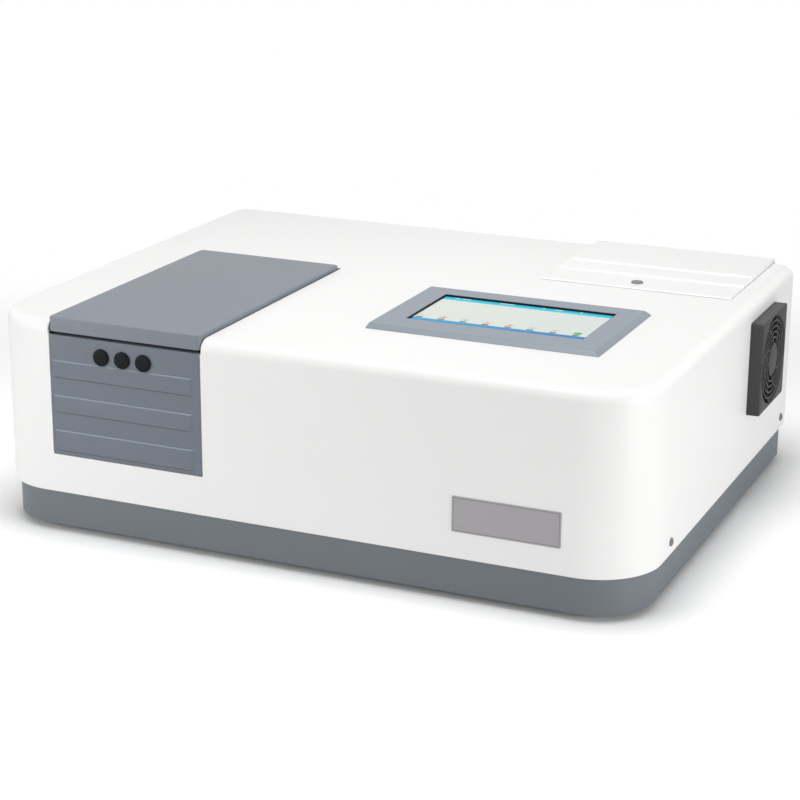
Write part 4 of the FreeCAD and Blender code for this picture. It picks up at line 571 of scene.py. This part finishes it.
def piece(name, skins, finish, node, angle=FOLD, stands_for=True):
    """One object from lofted skins in millimetres; it rides on a frame node's body."""
    offsets = np.cumsum([0] + [len(points) for points, _, _ in skins])
    points = np.concatenate([points for points, _, _ in skins]) * MM
    quads = np.concatenate([quads + offset for (_, quads, _), offset in zip(skins, offsets)])
    ends = [end for (_, _, ends), offset in zip(skins, offsets)
            for end in (ends + offset).tolist()]
    mesh = bpy.data.meshes.new(name)
    mesh.from_pydata(points.tolist(), [], quads.tolist() + ends)
    work = bmesh.new()
    work.from_mesh(mesh)
    bmesh.ops.remove_doubles(work, verts=work.verts, dist=1e-6)
    bmesh.ops.recalc_face_normals(work, faces=work.faces)
    work.to_mesh(mesh)
    work.free()
    mesh.materials.append(FINISH[finish])
    mesh.shade_smooth()
    mesh.set_sharp_from_angle(angle=math.radians(angle))
    thing = bpy.data.objects.new(name, mesh)
    scene.collection.objects.link(thing)
    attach(thing, NODES[node]["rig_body"])
    if stands_for:
        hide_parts(node)
    return thing


print("object builder ready")

# %% [markdown]
# ## Screen frame
#
# The frame is one moulding: a flat land round the window, a slope down to the housing that is
# wide at the front and the right and narrow elsewhere, and a small lip. One round-cornered
# rectangle, lofted at different sizes and heights, gives all of it. The rings close under the
# skirt, so the piece is solid.

# %% Screen frame
frame_low, frame_high = span("screen_bezel")
glass_low, glass_high = span("touch_glass")
GLASS_LAP = 4.0
SKIRT = 4.5
FRAME_PROUD = 3.5
SLOPE_IN = np.array([[1.2, 5.5], [5.5, 1.2]])
window_low, window_high = glass_low[:2] + GLASS_LAP, glass_high[:2] - GLASS_LAP
flange_z = frame_high[2] - FRAME_PROUD


def frame_ring(grow, height, radius):
    """Rounded rectangle `grow` millimetres outside the window."""
    return placed(rounded_ring(window_low - grow, window_high + grow, radius), height)


def outer_ring(share, height, radius):
    """Rounded rectangle between the frame's outline (0) and the edge of its land (1)."""
    inset = SLOPE_IN * share
    return placed(rounded_ring(frame_low[:2] + inset[0], frame_high[:2] - inset[1], radius),
                  height)


top_z = frame_high[2]
bezel_rings = np.stack([
    frame_ring(GLASS_LAP + SKIRT, frame_low[2], 1.0), frame_ring(GLASS_LAP + SKIRT, flange_z, 1.0),
    outer_ring(0.0, flange_z, 1.4), outer_ring(0.0, flange_z + 0.35, 1.4),
    outer_ring(0.05, flange_z + 0.6, 1.3), outer_ring(0.93, top_z - 0.16, 0.5),
    outer_ring(1.0, top_z, 0.4),
    frame_ring(0.35, top_z, 0.6), frame_ring(0.1, top_z - 0.1, 0.5),
    frame_ring(0.0, top_z - 0.35, 0.5), frame_ring(0.0, glass_high[2] + 0.05, 0.5),
    frame_ring(GLASS_LAP + 0.3, glass_high[2] + 0.05, 0.5),
    frame_ring(GLASS_LAP + 0.3, frame_low[2], 0.5)])
piece("screen_frame_moulding", [loft(bezel_rings, joined=True)], "bezel_grey", "screen_bezel",
      angle=5)
print("screen frame:", len(bezel_rings), "rings")

# %% [markdown]
# ## Window wall
#
# The frame's inner wall looks black from the side, because a thin gasket lines it. It is one
# narrow ring from the glass up to just under the frame's land, half a millimetre thick at its
# top and nearly one at the glass.

# %% Window gasket
GASKET_TOP, GASKET_FOOT = 0.5, 0.9
GASKET_DROP = 0.3
gasket_low, gasket_high = glass_high[2] + 0.02, top_z - GASKET_DROP
gasket_rings = np.stack([
    frame_ring(-0.02, gasket_low, 0.5), frame_ring(-0.02, gasket_high, 0.5),
    frame_ring(-GASKET_TOP, gasket_high, 0.4), frame_ring(-GASKET_FOOT, gasket_low, 0.3)])
piece("window_gasket", [loft(gasket_rings, joined=True)], "plug_black", "screen_bezel",
      stands_for=False)
print("gasket from z", round(float(gasket_low), 2), "to", round(float(gasket_high), 2), "mm")

# %% [markdown]
# ## Masks for drawn shapes
#
# The sheet behind a lit screen has no shape of its own, so its picture is drawn by nodes from
# distances in millimetres: a mask is a smooth step on a distance, and its edge stays clean at any
# size. Three helpers are enough for bars, rings and dots.

# %% Mask helpers
def smooth_mask(tree, value, low, high):
    """1 above `high`, 0 below `low` (or the reverse when low > high)."""
    node = tree.nodes.new("ShaderNodeMapRange")
    node.interpolation_type = "SMOOTHSTEP"
    node.inputs["From Min"].default_value = min(low, high)
    node.inputs["From Max"].default_value = max(low, high)
    if low > high:
        node.inputs["To Min"].default_value = 1.0
        node.inputs["To Max"].default_value = 0.0
    tree.links.new(value, node.inputs["Value"])
    return node.outputs["Result"]


def band_mask(tree, value, centre, half, soft=0.15):
    """1 within `half` of a centre."""
    distance = math_node(tree, "ABSOLUTE", math_node(tree, "SUBTRACT", value, centre))
    return smooth_mask(tree, distance, half + soft, half - soft)


def mixed(tree, mask, first, second):
    """First colour where the mask is 0 and the second where it is 1."""
    node = tree.nodes.new("ShaderNodeMix")
    node.data_type = "RGBA"
    tree.links.new(mask, node.inputs["Factor"])
    for socket, color in ((node.inputs["A"], first), (node.inputs["B"], second)):
        if isinstance(color, tuple):
            socket.default_value = (*color, 1)
        else:
            tree.links.new(color, socket)
    return node.outputs["Result"]


print("mask helpers ready")

# %% [markdown]
# ## Picture on the screen
#
# The picture has a cyan bar at the back, a blue bar at the front, and a row of eight round signs
# with a short bar under each. The signs have no meaning. One row needs no loop: the fraction of
# the place over the pitch is the place inside a sign, and its floor is the sign's number, which
# picks the colour from a ramp.

# %% Picture group
SIGN_PITCH = 19.57
SIGN_FIRST = 5.6
SIGN_FRONT = 20.6
FRONT_BAR = 12.9
BACK_BAR = 10.5
BORDER_SIDE = 1.1
BORDER_BACK = 1.6
RING_STRENGTH = 0.6
MARK_STRENGTH = 0.8
RING_R = 3.1
DOT_R = 1.5
DISC_R_LAST = 3.5
LABEL_FRONT = 14.9
MARK_BACK = 3.6
HEADER_MARKS = ((12.5, 2.5), (21.0, 4.0), (58.0, 6.5), (91.0, 1.1), (104.5, 3.5), (124.5, 1.1))
FIELD = ((0.83, 0.865, 0.80), (0.77, 0.845, 0.81))
CYAN = ((0.05, 0.68, 0.84), (0.02, 0.56, 0.76))
BLUE = ((0.0, 0.36, 0.68), (0.0, 0.22, 0.54))
LABEL_DARK = (0.02, 0.05, 0.03)
MARK_PALE = (0.85, 0.97, 1.0)
BORDER_BLACK = (0.004, 0.004, 0.005)
SIGN_COLORS = [(0.62, 0.66, 0.18), (0.75, 0.05, 0.05), (0.25, 0.6, 0.3), (0.85, 0.25, 0.15),
               (0.75, 0.12, 0.1), (0.15, 0.6, 0.75), (0.85, 0.35, 0.2), (0.03, 0.5, 0.08)]


def sign_colors(tree, index):
    """Constant colour ramp that gives each sign its own colour by its number."""
    ramp = tree.nodes.new("ShaderNodeValToRGB")
    ramp.color_ramp.interpolation = "CONSTANT"
    stops = ramp.color_ramp.elements
    stops[0].color = (*SIGN_COLORS[0], 1)
    stops[1].position = 0.99
    stops[1].color = (*SIGN_COLORS[-1], 1)
    for number, color in enumerate(SIGN_COLORS[1:], 1):
        stops.new(number / len(SIGN_COLORS)).color = (*color, 1)
    tree.links.new(math_node(tree, "DIVIDE", math_node(tree, "ADD", index, 0.5),
                             len(SIGN_COLORS)), ramp.inputs["Fac"])
    return ramp.outputs["Color"]


def build_screen_picture():
    """Colour of the lit picture from object coordinates (metres) and the window's corner."""
    tree, start, end = new_group("screen_picture", [("Vector", "NodeSocketVector", None)],
                                 [("Color", "NodeSocketColor")])
    split = tree.nodes.new("ShaderNodeSeparateXYZ")
    tree.links.new(start.outputs["Vector"], split.inputs[0])
    u, v = (math_node(tree, "SUBTRACT", math_node(tree, "MULTIPLY", place, 1 / MM), float(edge))
            for place, edge in zip(split.outputs, window_low))
    width, depth = (float(s) for s in window_high - window_low)
    field = mixed(tree, smooth_mask(tree, u, 0.0, width), *FIELD)
    top = mixed(tree, smooth_mask(tree, v, depth - BACK_BAR, depth), *CYAN)
    low = mixed(tree, smooth_mask(tree, u, 0.0, width), *BLUE)
    color = mixed(tree, smooth_mask(tree, v, depth - BACK_BAR - 0.2,
                                    depth - BACK_BAR + 0.2), field, top)
    color = mixed(tree, smooth_mask(tree, v, FRONT_BAR + 0.2, FRONT_BAR - 0.2), color, low)
    row_start = SIGN_FIRST - SIGN_PITCH / 2
    shifted = math_node(tree, "DIVIDE", math_node(tree, "SUBTRACT", u, row_start), SIGN_PITCH)
    index = math_node(tree, "FLOOR", shifted)
    du = math_node(tree, "MULTIPLY",
                   math_node(tree, "SUBTRACT", math_node(tree, "FRACT", shifted), 0.5), SIGN_PITCH)
    dv = math_node(tree, "SUBTRACT", v, SIGN_FRONT)
    away = math_node(tree, "SQRT", math_node(tree, "ADD", math_node(tree, "POWER", du, 2.0),
                                             math_node(tree, "POWER", dv, 2.0)))
    ring = math_node(tree, "MULTIPLY", band_mask(tree, away, RING_R, 0.35, 0.2), RING_STRENGTH)
    dot = smooth_mask(tree, away, DOT_R + 0.2, DOT_R - 0.2)
    last = len(SIGN_COLORS) - 1.5
    disc = math_node(tree, "MULTIPLY", smooth_mask(tree, index, last - 0.1, last + 0.1),
                     smooth_mask(tree, away, DISC_R_LAST + 0.2, DISC_R_LAST - 0.2))
    sign = math_node(tree, "MAXIMUM", math_node(tree, "MAXIMUM", ring, dot), disc)
    color = mixed(tree, sign, color, sign_colors(tree, index))
    label = math_node(tree, "MULTIPLY", band_mask(tree, du, 0.0, 3.0),
                      band_mask(tree, v, LABEL_FRONT, 1.2))
    color = mixed(tree, label, color, LABEL_DARK)
    row = band_mask(tree, v, depth - MARK_BACK, 1.1)
    for centre, half in HEADER_MARKS:
        mark = math_node(tree, "MULTIPLY", row, band_mask(tree, u, centre, half))
        color = mixed(tree, math_node(tree, "MULTIPLY", mark, MARK_STRENGTH), color, MARK_PALE)
    half = (depth - BORDER_BACK) / 2
    inside = math_node(tree, "MULTIPLY", band_mask(tree, v, half, half),
                       band_mask(tree, u, width / 2, width / 2 - BORDER_SIDE))
    tree.links.new(mixed(tree, inside, BORDER_BLACK, color), end.inputs["Color"])
    return tree


print("signs:", len(SIGN_COLORS))

# %% [markdown]
# ## Touch glass
#
# A lit screen gives its own light, so the picture feeds the emission of a nearly black surface.
# The glass is one plain slab with small edges, and the picture lies on its surface. Its
# reflection is kept weak, because a strong one would wash the picture out from low angles.

# %% Touch glass
SCREEN_GLOW = 0.8
SCREEN_SHINE = 0.05


def screen_finish():
    """Lit picture on a dark surface with a weak reflection."""
    m, tree, shader, place = finish_base("lit_screen")
    picture = group_node(tree, build_screen_picture(), place, {})
    smudge = group_node(tree, MOULDED_SKIN, place, {
        "Color": (0.012, 0.013, 0.014, 1), "Grain": 60.0, "Roughness": 0.2})
    tree.links.new(smudge.outputs["Color"], shader.inputs["Base Color"])
    tree.links.new(smudge.outputs["Roughness"], shader.inputs["Roughness"])
    tree.links.new(picture.outputs["Color"], shader.inputs["Emission Color"])
    shader.inputs["Emission Strength"].default_value = SCREEN_GLOW
    shader.inputs["Specular IOR Level"].default_value = SCREEN_SHINE
    m.diffuse_color = (0.8, 0.86, 0.82, 1)
    return m


FINISH["lit_screen"] = screen_finish()
glass_ring = [placed(rounded_ring(glass_low[:2] + inset, glass_high[:2] - inset, 1.0), z)
              for inset, z in ((0.2, glass_low[2]), (0.0, glass_low[2] + 0.2),
                               (0.0, glass_high[2] - 0.2), (0.2, glass_high[2]))]
piece("touch_screen", [loft(np.stack(glass_ring))], "lit_screen", "touch_glass")
print("glass thickness:", round(float(glass_high[2] - glass_low[2]), 2), "mm")

# %% [markdown]
# ## Fan guard
#
# The guard's frame is a thick square with a round opening. It could be a cube with a hole cut in
# it, but the cut leaves long thin faces. Here the square is a superellipse in polar form,
# r = h / (|cos|^p + |sin|^p)^(1/p) with a high p, so that every ring of the loft, square or
# round, is one function of the same angle.

# %% Guard frame
guard_low, guard_high = span("fan_guard")
guard_middle = (guard_low + guard_high) / 2
GUARD_HALF = float(guard_high[1] - guard_low[1]) / 2
DUCT_R = 38.0
MOUTH_R = 39.6
SQUARE, ROUND = 60.0, 2.0
AROUND = 192
turn = np.linspace(0, 2 * math.pi, AROUND, endpoint=False)


def guard_ring(size, x, power):
    """Superellipse of half width `size` in the plane at x."""
    radius = size / (np.abs(np.cos(turn)) ** power
                     + np.abs(np.sin(turn)) ** power) ** (1 / power)
    return np.stack([np.full(AROUND, x), guard_middle[1] + radius * np.cos(turn),
                     guard_middle[2] + radius * np.sin(turn)], -1)


x_wall, x_face = guard_low[0], guard_high[0]
frame_rings = np.stack([
    guard_ring(GUARD_HALF, x_wall, SQUARE), guard_ring(GUARD_HALF, x_face - 0.9, SQUARE),
    guard_ring(GUARD_HALF - 0.25, x_face - 0.25, SQUARE),
    guard_ring(GUARD_HALF - 0.9, x_face, SQUARE),
    guard_ring(MOUTH_R, x_face, ROUND), guard_ring(MOUTH_R - 0.5, x_face - 0.6, ROUND),
    guard_ring(DUCT_R, x_face - 5.0, ROUND), guard_ring(DUCT_R, x_wall, ROUND)])
print("guard half width:", round(GUARD_HALF, 2), "mm")

# %% [markdown]
# ## Guard rings and spokes
#
# Across the opening run four thin hoops, a plain disc in the middle and eight spokes that sweep
# round as they go out. A hoop is a profile turned about the fan's axis. A spoke is a bar whose
# angle grows with its radius, which is what makes it lean.

# %% Guard rings and spokes
DISC_R = 14.5
GUARD_RINGS = 4
GUARD_SPOKES = 8
SPOKE_SWEEP = math.radians(38)
BAR_HALF = 0.8
HOOP_CHAMFER = 0.25


def round_band(radius, half_width, x0, x1):
    """Flat hoop with small chamfers."""
    c = HOOP_CHAMFER
    profile = [(x0, radius - half_width), (x1 - c, radius - half_width),
               (x1, radius - half_width + c), (x1, radius + half_width - c),
               (x1 - c, radius + half_width), (x0, radius + half_width)]
    return loft(turned(profile, (0, guard_middle[1], guard_middle[2]), 0, 96), joined=True)


def swept_spoke(start):
    """Bar whose angle grows with the radius, so that it leans as it goes out."""
    radius = np.linspace(DISC_R - 1, MOUTH_R, 14)[:, None]
    share = (radius - DISC_R) / (MOUTH_R - DISC_R)
    angle = start + SPOKE_SWEEP * share
    across = BAR_HALF * np.array([-1, 1, 1, -1])
    x = np.broadcast_to(np.array([x_face - 2.6, x_face - 2.6, x_face - 0.5, x_face - 0.5]),
                        (len(radius), 4))
    y = guard_middle[1] + radius * np.cos(angle) - across * np.sin(angle)
    z = guard_middle[2] + radius * np.sin(angle) + across * np.cos(angle)
    return loft(np.stack([x, y, z], -1))


ring_step = (MOUTH_R - DISC_R) / (GUARD_RINGS + 1)
hoops = [round_band(DISC_R + i * ring_step, BAR_HALF, x_face - 2.5, x_face - 0.3)
         for i in range(1, GUARD_RINGS + 1)]
disc_profile = [(x_face - 2.5, 0.01), (x_face - 2.5, DISC_R), (x_face - 0.5, DISC_R),
                (x_face - 0.1, DISC_R - 0.5), (x_face, DISC_R - 1.2), (x_face, 0.01)]
disc = loft(turned(disc_profile, (0, guard_middle[1], guard_middle[2]), 0, 64))
spokes = [swept_spoke(2 * math.pi * i / GUARD_SPOKES) for i in range(GUARD_SPOKES)]
piece("fan_guard_moulding", [loft(frame_rings, joined=True), disc, *hoops, *spokes],
      "guard_black", "fan_guard")
print("guard:", len(hoops), "hoops,", len(spokes), "spokes")

# %% [markdown]
# ## Port plugs
#
# A pressed-in cap is a shape of revolution: a short neck, a flat rim and a face that rises a
# little towards its middle, as the height of a shallow circle.

# %% Plugs
plug_low, plug_high = span("port_plugs")
PLUG_R = float(plug_high[2] - plug_low[2]) / 2
NECK_R = 6.0
CROWN_RISE = 0.35
plug_z = (plug_low[2] + plug_high[2]) / 2
plug_x = np.linspace(plug_low[0] + PLUG_R, plug_high[0] - PLUG_R, 3)
crown = np.linspace(1, 0.001, 8)
plug_profile = np.concatenate([
    [(plug_high[1], 0.01), (plug_high[1], NECK_R), (plug_low[1] + 2.1, NECK_R),
     (plug_low[1] + 2.1, PLUG_R), (plug_low[1] + 0.75, PLUG_R),
     (plug_low[1] + 0.5, PLUG_R - 0.12)],
    np.stack([plug_low[1] + CROWN_RISE * crown ** 2, (PLUG_R - 0.4) * crown], -1)])
piece("plug_caps", [loft(turned(plug_profile, (x, 0, plug_z), 1)) for x in plug_x],
      "plug_black", "port_plugs")
print("caps:", len(plug_x), "of radius", round(PLUG_R, 2), "mm")

# %% [markdown]
# ## Nameplate
#
# The plate is bare: brushed metal with a thin dark line round it. The line could be a groove, but
# on a thin plate it is printed, so the finish draws it from the distance to the nearest edge.

# %% Nameplate
LINE_IN = 1.3
PLATE_TONE = (0.4, 0.385, 0.4)
plate_low, plate_high = span("nameplate")


def plate_finish():
    """Brushed lines along x, darkened on a line LINE_IN millimetres inside the edge."""
    m, tree, shader, place = finish_base("plate_silver")
    group = group_node(tree, BRUSHED_LINES, place, {
        "Color": (*PLATE_TONE, 1), "Stretch": (25.0, 800.0, 1600.0), "Contrast": 0.22,
        "Roughness": 0.42})
    split = tree.nodes.new("ShaderNodeSeparateXYZ")
    tree.links.new(place, split.inputs[0])
    edges = []
    for axis, low, high in (("X", plate_low[0], plate_high[0]), ("Z", plate_low[2], plate_high[2])):
        mm = math_node(tree, "MULTIPLY", split.outputs[axis], 1 / MM)
        centre, half = float(low + high) / 2, float(high - low) / 2
        away = math_node(tree, "ABSOLUTE", math_node(tree, "SUBTRACT", mm, centre))
        edges.append(math_node(tree, "SUBTRACT", half, away))
    line = band_mask(tree, math_node(tree, "MINIMUM", *edges), LINE_IN, 0.16, 0.06)
    tree.links.new(mixed(tree, line, group.outputs["Color"], (0.12, 0.115, 0.12)),
                   shader.inputs["Base Color"])
    tree.links.new(group.outputs["Roughness"], shader.inputs["Roughness"])
    shader.inputs["Metallic"].default_value = 0.55
    m.diffuse_color = (*PLATE_TONE, 1)
    return m


FINISH["plate_silver"] = plate_finish()
flat = plate_low[[0, 2]], plate_high[[0, 2]]
plate_rings = np.stack([
    placed(rounded_ring(flat[0] + inset, flat[1] - inset, 0.9), y, 1)
    for inset, y in ((0.0, plate_high[1]), (0.0, plate_low[1] + 0.15), (0.15, plate_low[1]))])
piece("bare_nameplate", [loft(plate_rings)], "plate_silver", "nameplate")
print("plate:", np.round(flat[1] - flat[0], 1), "mm")

# %% [markdown]
# ## Cross-head screws
#
# A pan head with a cross recess is the height of a dome less the depth of a cross. Both are
# functions of the same polar grid, so one formula gives the whole face: a point is in the cross
# when it is near one of two lines through the centre and inside the recess's reach.

# %% Cross-head screws
CROSS_REACH = 0.62
CROSS_HALF = 0.16
CROSS_DEPTH = 0.55


def cross_head(centre, side, radius, height, shank):
    """Dome minus cross on a polar grid, closed by a shank that goes into the wall."""
    share = np.concatenate([[0.001], np.linspace(0.04, 1, 26)])[:, None]
    angle = np.linspace(0, 2 * math.pi, 96, endpoint=False)[None, :]
    a, b = share * radius * np.cos(angle), share * radius * np.sin(angle)
    near = np.minimum(np.abs(a - b), np.abs(a + b)) / math.sqrt(2)
    reach = np.clip((CROSS_REACH * radius - np.hypot(a, b)) / (0.1 * radius), 0, 1)
    cross = np.clip((CROSS_HALF * radius - near) / (0.06 * radius), 0, 1) * reach
    rise = height * np.sqrt(np.clip(1 - 0.8 * share ** 2, 0, 1)) - CROSS_DEPTH * height * cross
    face = np.stack([side * rise, a, b], -1)
    rim = turned([(0, radius), (0, 0.5 * radius), (-side * shank, 0.5 * radius),
                  (-side * shank, 0.01)], (0, 0, 0), 0, 96)
    return loft(np.concatenate([face, rim]) + np.asarray(centre, float))


COVER_SCREW_HEAD_R = 3.6
COVER_SCREW_HEAD_T = 1.9
COVER_SCREW_SHANK = 4.0
screw_low, screw_high = span("cover_screws")
screw_z = (screw_low[2] + screw_high[2]) / 2
screws = [cross_head((side_x - sign * COVER_SCREW_HEAD_T, y, screw_z), sign, COVER_SCREW_HEAD_R,
                     COVER_SCREW_HEAD_T, COVER_SCREW_SHANK)
          for side_x, sign in ((screw_low[0], -1), (screw_high[0], 1))
          for y in (screw_low[1] + COVER_SCREW_HEAD_R, screw_high[1] - COVER_SCREW_HEAD_R)]
piece("cover_screw_heads", screws, "bolt_grey", "cover_screws", angle=40)
print("cover screws:", len(screws))

# %% [markdown]
# ## Hatch screw
#
# The hatch is held by a quarter-turn screw with a flat head and one straight slot. The head is
# the same polar grid again: its height is flat, rolls off at the rim and drops inside the slot.

# %% Hatch screw
def slotted_disc(centre, radius, height, shank_radius, depth):
    """Flat head whose top is lowered along one straight slot, on a polar grid."""
    share = np.concatenate([[0.001], np.linspace(0.06, 0.93, 20), [0.98, 1.0]])[:, None]
    angle = np.linspace(0, 2 * math.pi, 96, endpoint=False)[None, :]
    a, b = share * radius * np.cos(angle), share * radius * np.sin(angle)
    slot = (np.clip((0.65 - np.abs(b)) / 0.2, 0, 1)
            * np.clip((0.75 * radius - np.abs(a)) / 0.3, 0, 1))
    rise = height - 0.35 * np.clip((share - 0.93) / 0.07, 0, 1) ** 2 - 0.5 * height * slot
    face = np.stack([a, b, np.broadcast_to(rise, a.shape)], -1)
    rim = turned([(0, radius), (0, shank_radius), (-depth, shank_radius), (-depth, 0.01)],
                 (0, 0, 0), 2, 96)
    return loft(np.concatenate([face, rim]) + np.asarray(centre, float))


BOLT_HEAD = 1.2
BOLT_SHANK_R = 2.5
bolt_low, bolt_high = span("lamp_cover_screw")
bolt_x, bolt_y = (bolt_low[:2] + bolt_high[:2]) / 2
seat_z = bolt_high[2] - BOLT_HEAD
piece("hatch_bolt", [slotted_disc((bolt_x, bolt_y, seat_z), float(bolt_high[0] - bolt_low[0]) / 2,
                                  BOLT_HEAD, BOLT_SHANK_R, seat_z - bolt_low[2])],
      "bolt_grey", "lamp_cover_screw", angle=40)
print("hatch screw seat at z", round(float(seat_z), 2), "mm")

# %% [markdown]
# ## Panel ledges with painted light
#
# The front panel is stepped. The ledges that face up get a painted highlight, and those that
# face down a painted shade, in place of the light from above. Lines could be painted by height,
# but a mask on the normal's height in object coordinates follows the shape by itself, so the
# painted light can't miss a ledge when the steps move.

# %% Panel finish with painted ledge light
PANEL_GREY = (0.155, 0.178, 0.215)
# Painted highlight on ledges that face up, painted shade on ledges that face down.
LEDGE_PAINTED_HIGHLIGHT = 0.95
LEDGE_PAINTED_SHADE = 0.42


def panel_finish_painted_ledges():
    """Moulded skin times 1 + painted highlight x (faces up) - painted shade x (faces down)."""
    m = plastic("panel_grey_painted_ledges", PANEL_GREY, 0.46, 2100.0, 0.00003)
    tree = m.node_tree
    shade = tree.nodes["Principled BSDF"].inputs["Base Color"]
    skin = shade.links[0].from_socket
    place = tree.nodes.new("ShaderNodeTexCoord")
    split = tree.nodes.new("ShaderNodeSeparateXYZ")
    tree.links.new(place.outputs["Normal"], split.inputs[0])
    # Painted highlight where the normal points up, painted shade where it points down.
    painted_highlight = math_node(tree, "MULTIPLY", smooth_mask(tree, split.outputs["Z"], 0.35, 0.6),
                      LEDGE_PAINTED_HIGHLIGHT)
    painted_shade = math_node(tree, "MULTIPLY", smooth_mask(tree, split.outputs["Z"], -0.35, -0.6),
                       LEDGE_PAINTED_SHADE)
    tone = math_node(tree, "SUBTRACT", math_node(tree, "ADD", painted_highlight, 1.0), painted_shade)
    tree.links.new(shaded(tree, skin, tone), shade)
    return m


FINISH["panel_grey_painted_ledges"] = panel_finish_painted_ledges()
print("finishes:", len(FINISH))

# %% [markdown]
# ## Softening the frame's own solids
#
# A real moulding has no sharp edge: the light always catches a small radius. The frame's solids
# have mathematically sharp edges, so each visible one is copied, its loose triangles welded and
# its flat faces merged, and a small bevel is put on every sharp edge. The copy stands for the
# solid and rides on the same body.

# %% Softened copy
MERGE_ANGLE = 0.2


def softened(node, finish, edge, angle):
    """Welded copy of a frame solid with edges rounded by `edge` millimetres."""
    source = NODES[node]
    mesh = source.data.copy()
    mesh.name = node + "_surface"
    work = bmesh.new()
    work.from_mesh(mesh)
    bmesh.ops.remove_doubles(work, verts=work.verts, dist=2e-6)
    bmesh.ops.dissolve_limit(work, angle_limit=math.radians(MERGE_ANGLE), verts=work.verts,
                             edges=work.edges)
    work.to_mesh(mesh)
    work.free()
    piece = bpy.data.objects.new(node + "_surface", mesh)
    scene.collection.objects.link(piece)
    mesh.materials.clear()
    mesh.materials.append(FINISH[finish])
    mesh.shade_smooth()
    mesh.set_sharp_from_angle(angle=math.radians(angle))
    bevel = piece.modifiers.new("rounded_edges", "BEVEL")
    bevel.width = edge * MM
    bevel.segments = 2
    bevel.limit_method = "ANGLE"
    bevel.angle_limit = math.radians(angle)
    bevel.harden_normals = True
    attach(piece, source["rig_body"])
    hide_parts(node)


print("softened copy ready")

# %% [markdown]
# ## Which edges are how soft
#
# A large moulding has a large edge radius, and a sheet or a pin a small one. The list gives each
# node its finish and its radius in millimetres. The front panel's folds are shallow, so its
# limit for a fold is lower than the others', or its faces would shade into its ledges.

# %% Softened nodes
CRISP_FOLDS = {"front_panel": 8}
SOFTENED = [
    ("upper_cover", "housing_white", 0.5), ("base_tray", "tray_grey", 0.9),
    ("sample_lid", "lid_grey", 0.3), ("front_panel", "panel_grey_painted_ledges", 0.12),
    ("lamp_cover", "housing_white", 0.3), ("rubber_feet", "foot_rubber", 0.4),
    ("foot_screws", "bright_steel", 0.12), ("lid_liner", "chamber_black", 0.3),
    ("lid_seal", "seal_foam", 0.5), ("lid_hinge_brackets", "chamber_black", 0.25),
    ("lid_hinge_pins", "bright_steel", 0.15), ("sample_chamber", "chamber_black", 0.4),
    ("chamber_windows", "quartz", 0.2), ("guide_rods", "bright_steel", 0.2),
    ("cell_carriage", "chamber_black", 0.3), ("reference_holder", "chamber_black", 0.3),
    ("lead_screw", "bright_steel", 0.2), ("fan_frame", "socket_black", 0.4),
    ("fan_rotor", "socket_black", 0.2), ("rear_panel", "zinc_sheet", 0.2),
    ("power_inlet", "socket_black", 0.3), ("switch_body", "socket_black", 0.3),
    ("power_switch", "socket_black", 0.4), ("fuse_holder", "socket_black", 0.4),
    ("data_port", "zinc_sheet", 0.15),
]
for node, finish, edge in SOFTENED:
    softened(node, finish, edge, CRISP_FOLDS.get(node, FOLD))
print("softened:", len(SOFTENED))

# %% [markdown]
# ## Inner pieces
#
# What stands inside the closed housing is seen rarely and from afar. Its solids keep their shape,
# and they only get a finish.

# %% Inner pieces
def dressed(node, finish):
    """Gives a frame solid its finish and leaves its shape alone."""
    mesh = NODES[node].data
    mesh.materials.clear()
    mesh.materials.append(FINISH[finish])


INNER = {
    "carriage_motor": "socket_black", "optical_bench": "bench_cast",
    "bench_mounts": "foot_rubber", "slit_plates": "chamber_black",
    "mirror_stands": "chamber_black", "collimating_mirrors": "mirror_coat",
    "grating_motor": "socket_black", "grating_turntable": "chamber_black",
    "grating": "grating_lines", "fold_mirrors": "mirror_coat",
    "detector_housings": "chamber_black", "detector_boards": "board_green",
    "filter_wheel": "chamber_black", "filter_glasses": "filter_amber",
    "filter_wheel_motor": "socket_black", "source_mirror_motor": "socket_black",
    "source_mirror": "mirror_coat", "lamp_bracket": "zinc_sheet",
    "deuterium_lamp": "quartz", "halogen_lamp": "quartz", "lcd_module": "zinc_sheet",
    "display_board": "board_green", "fan_screws": "bright_steel",
    "power_supply": "zinc_sheet", "main_board": "board_green",
    "board_standoffs": "bright_steel",
}
for node, finish in INNER.items():
    dressed(node, finish)
print("inner pieces:", len(INNER))
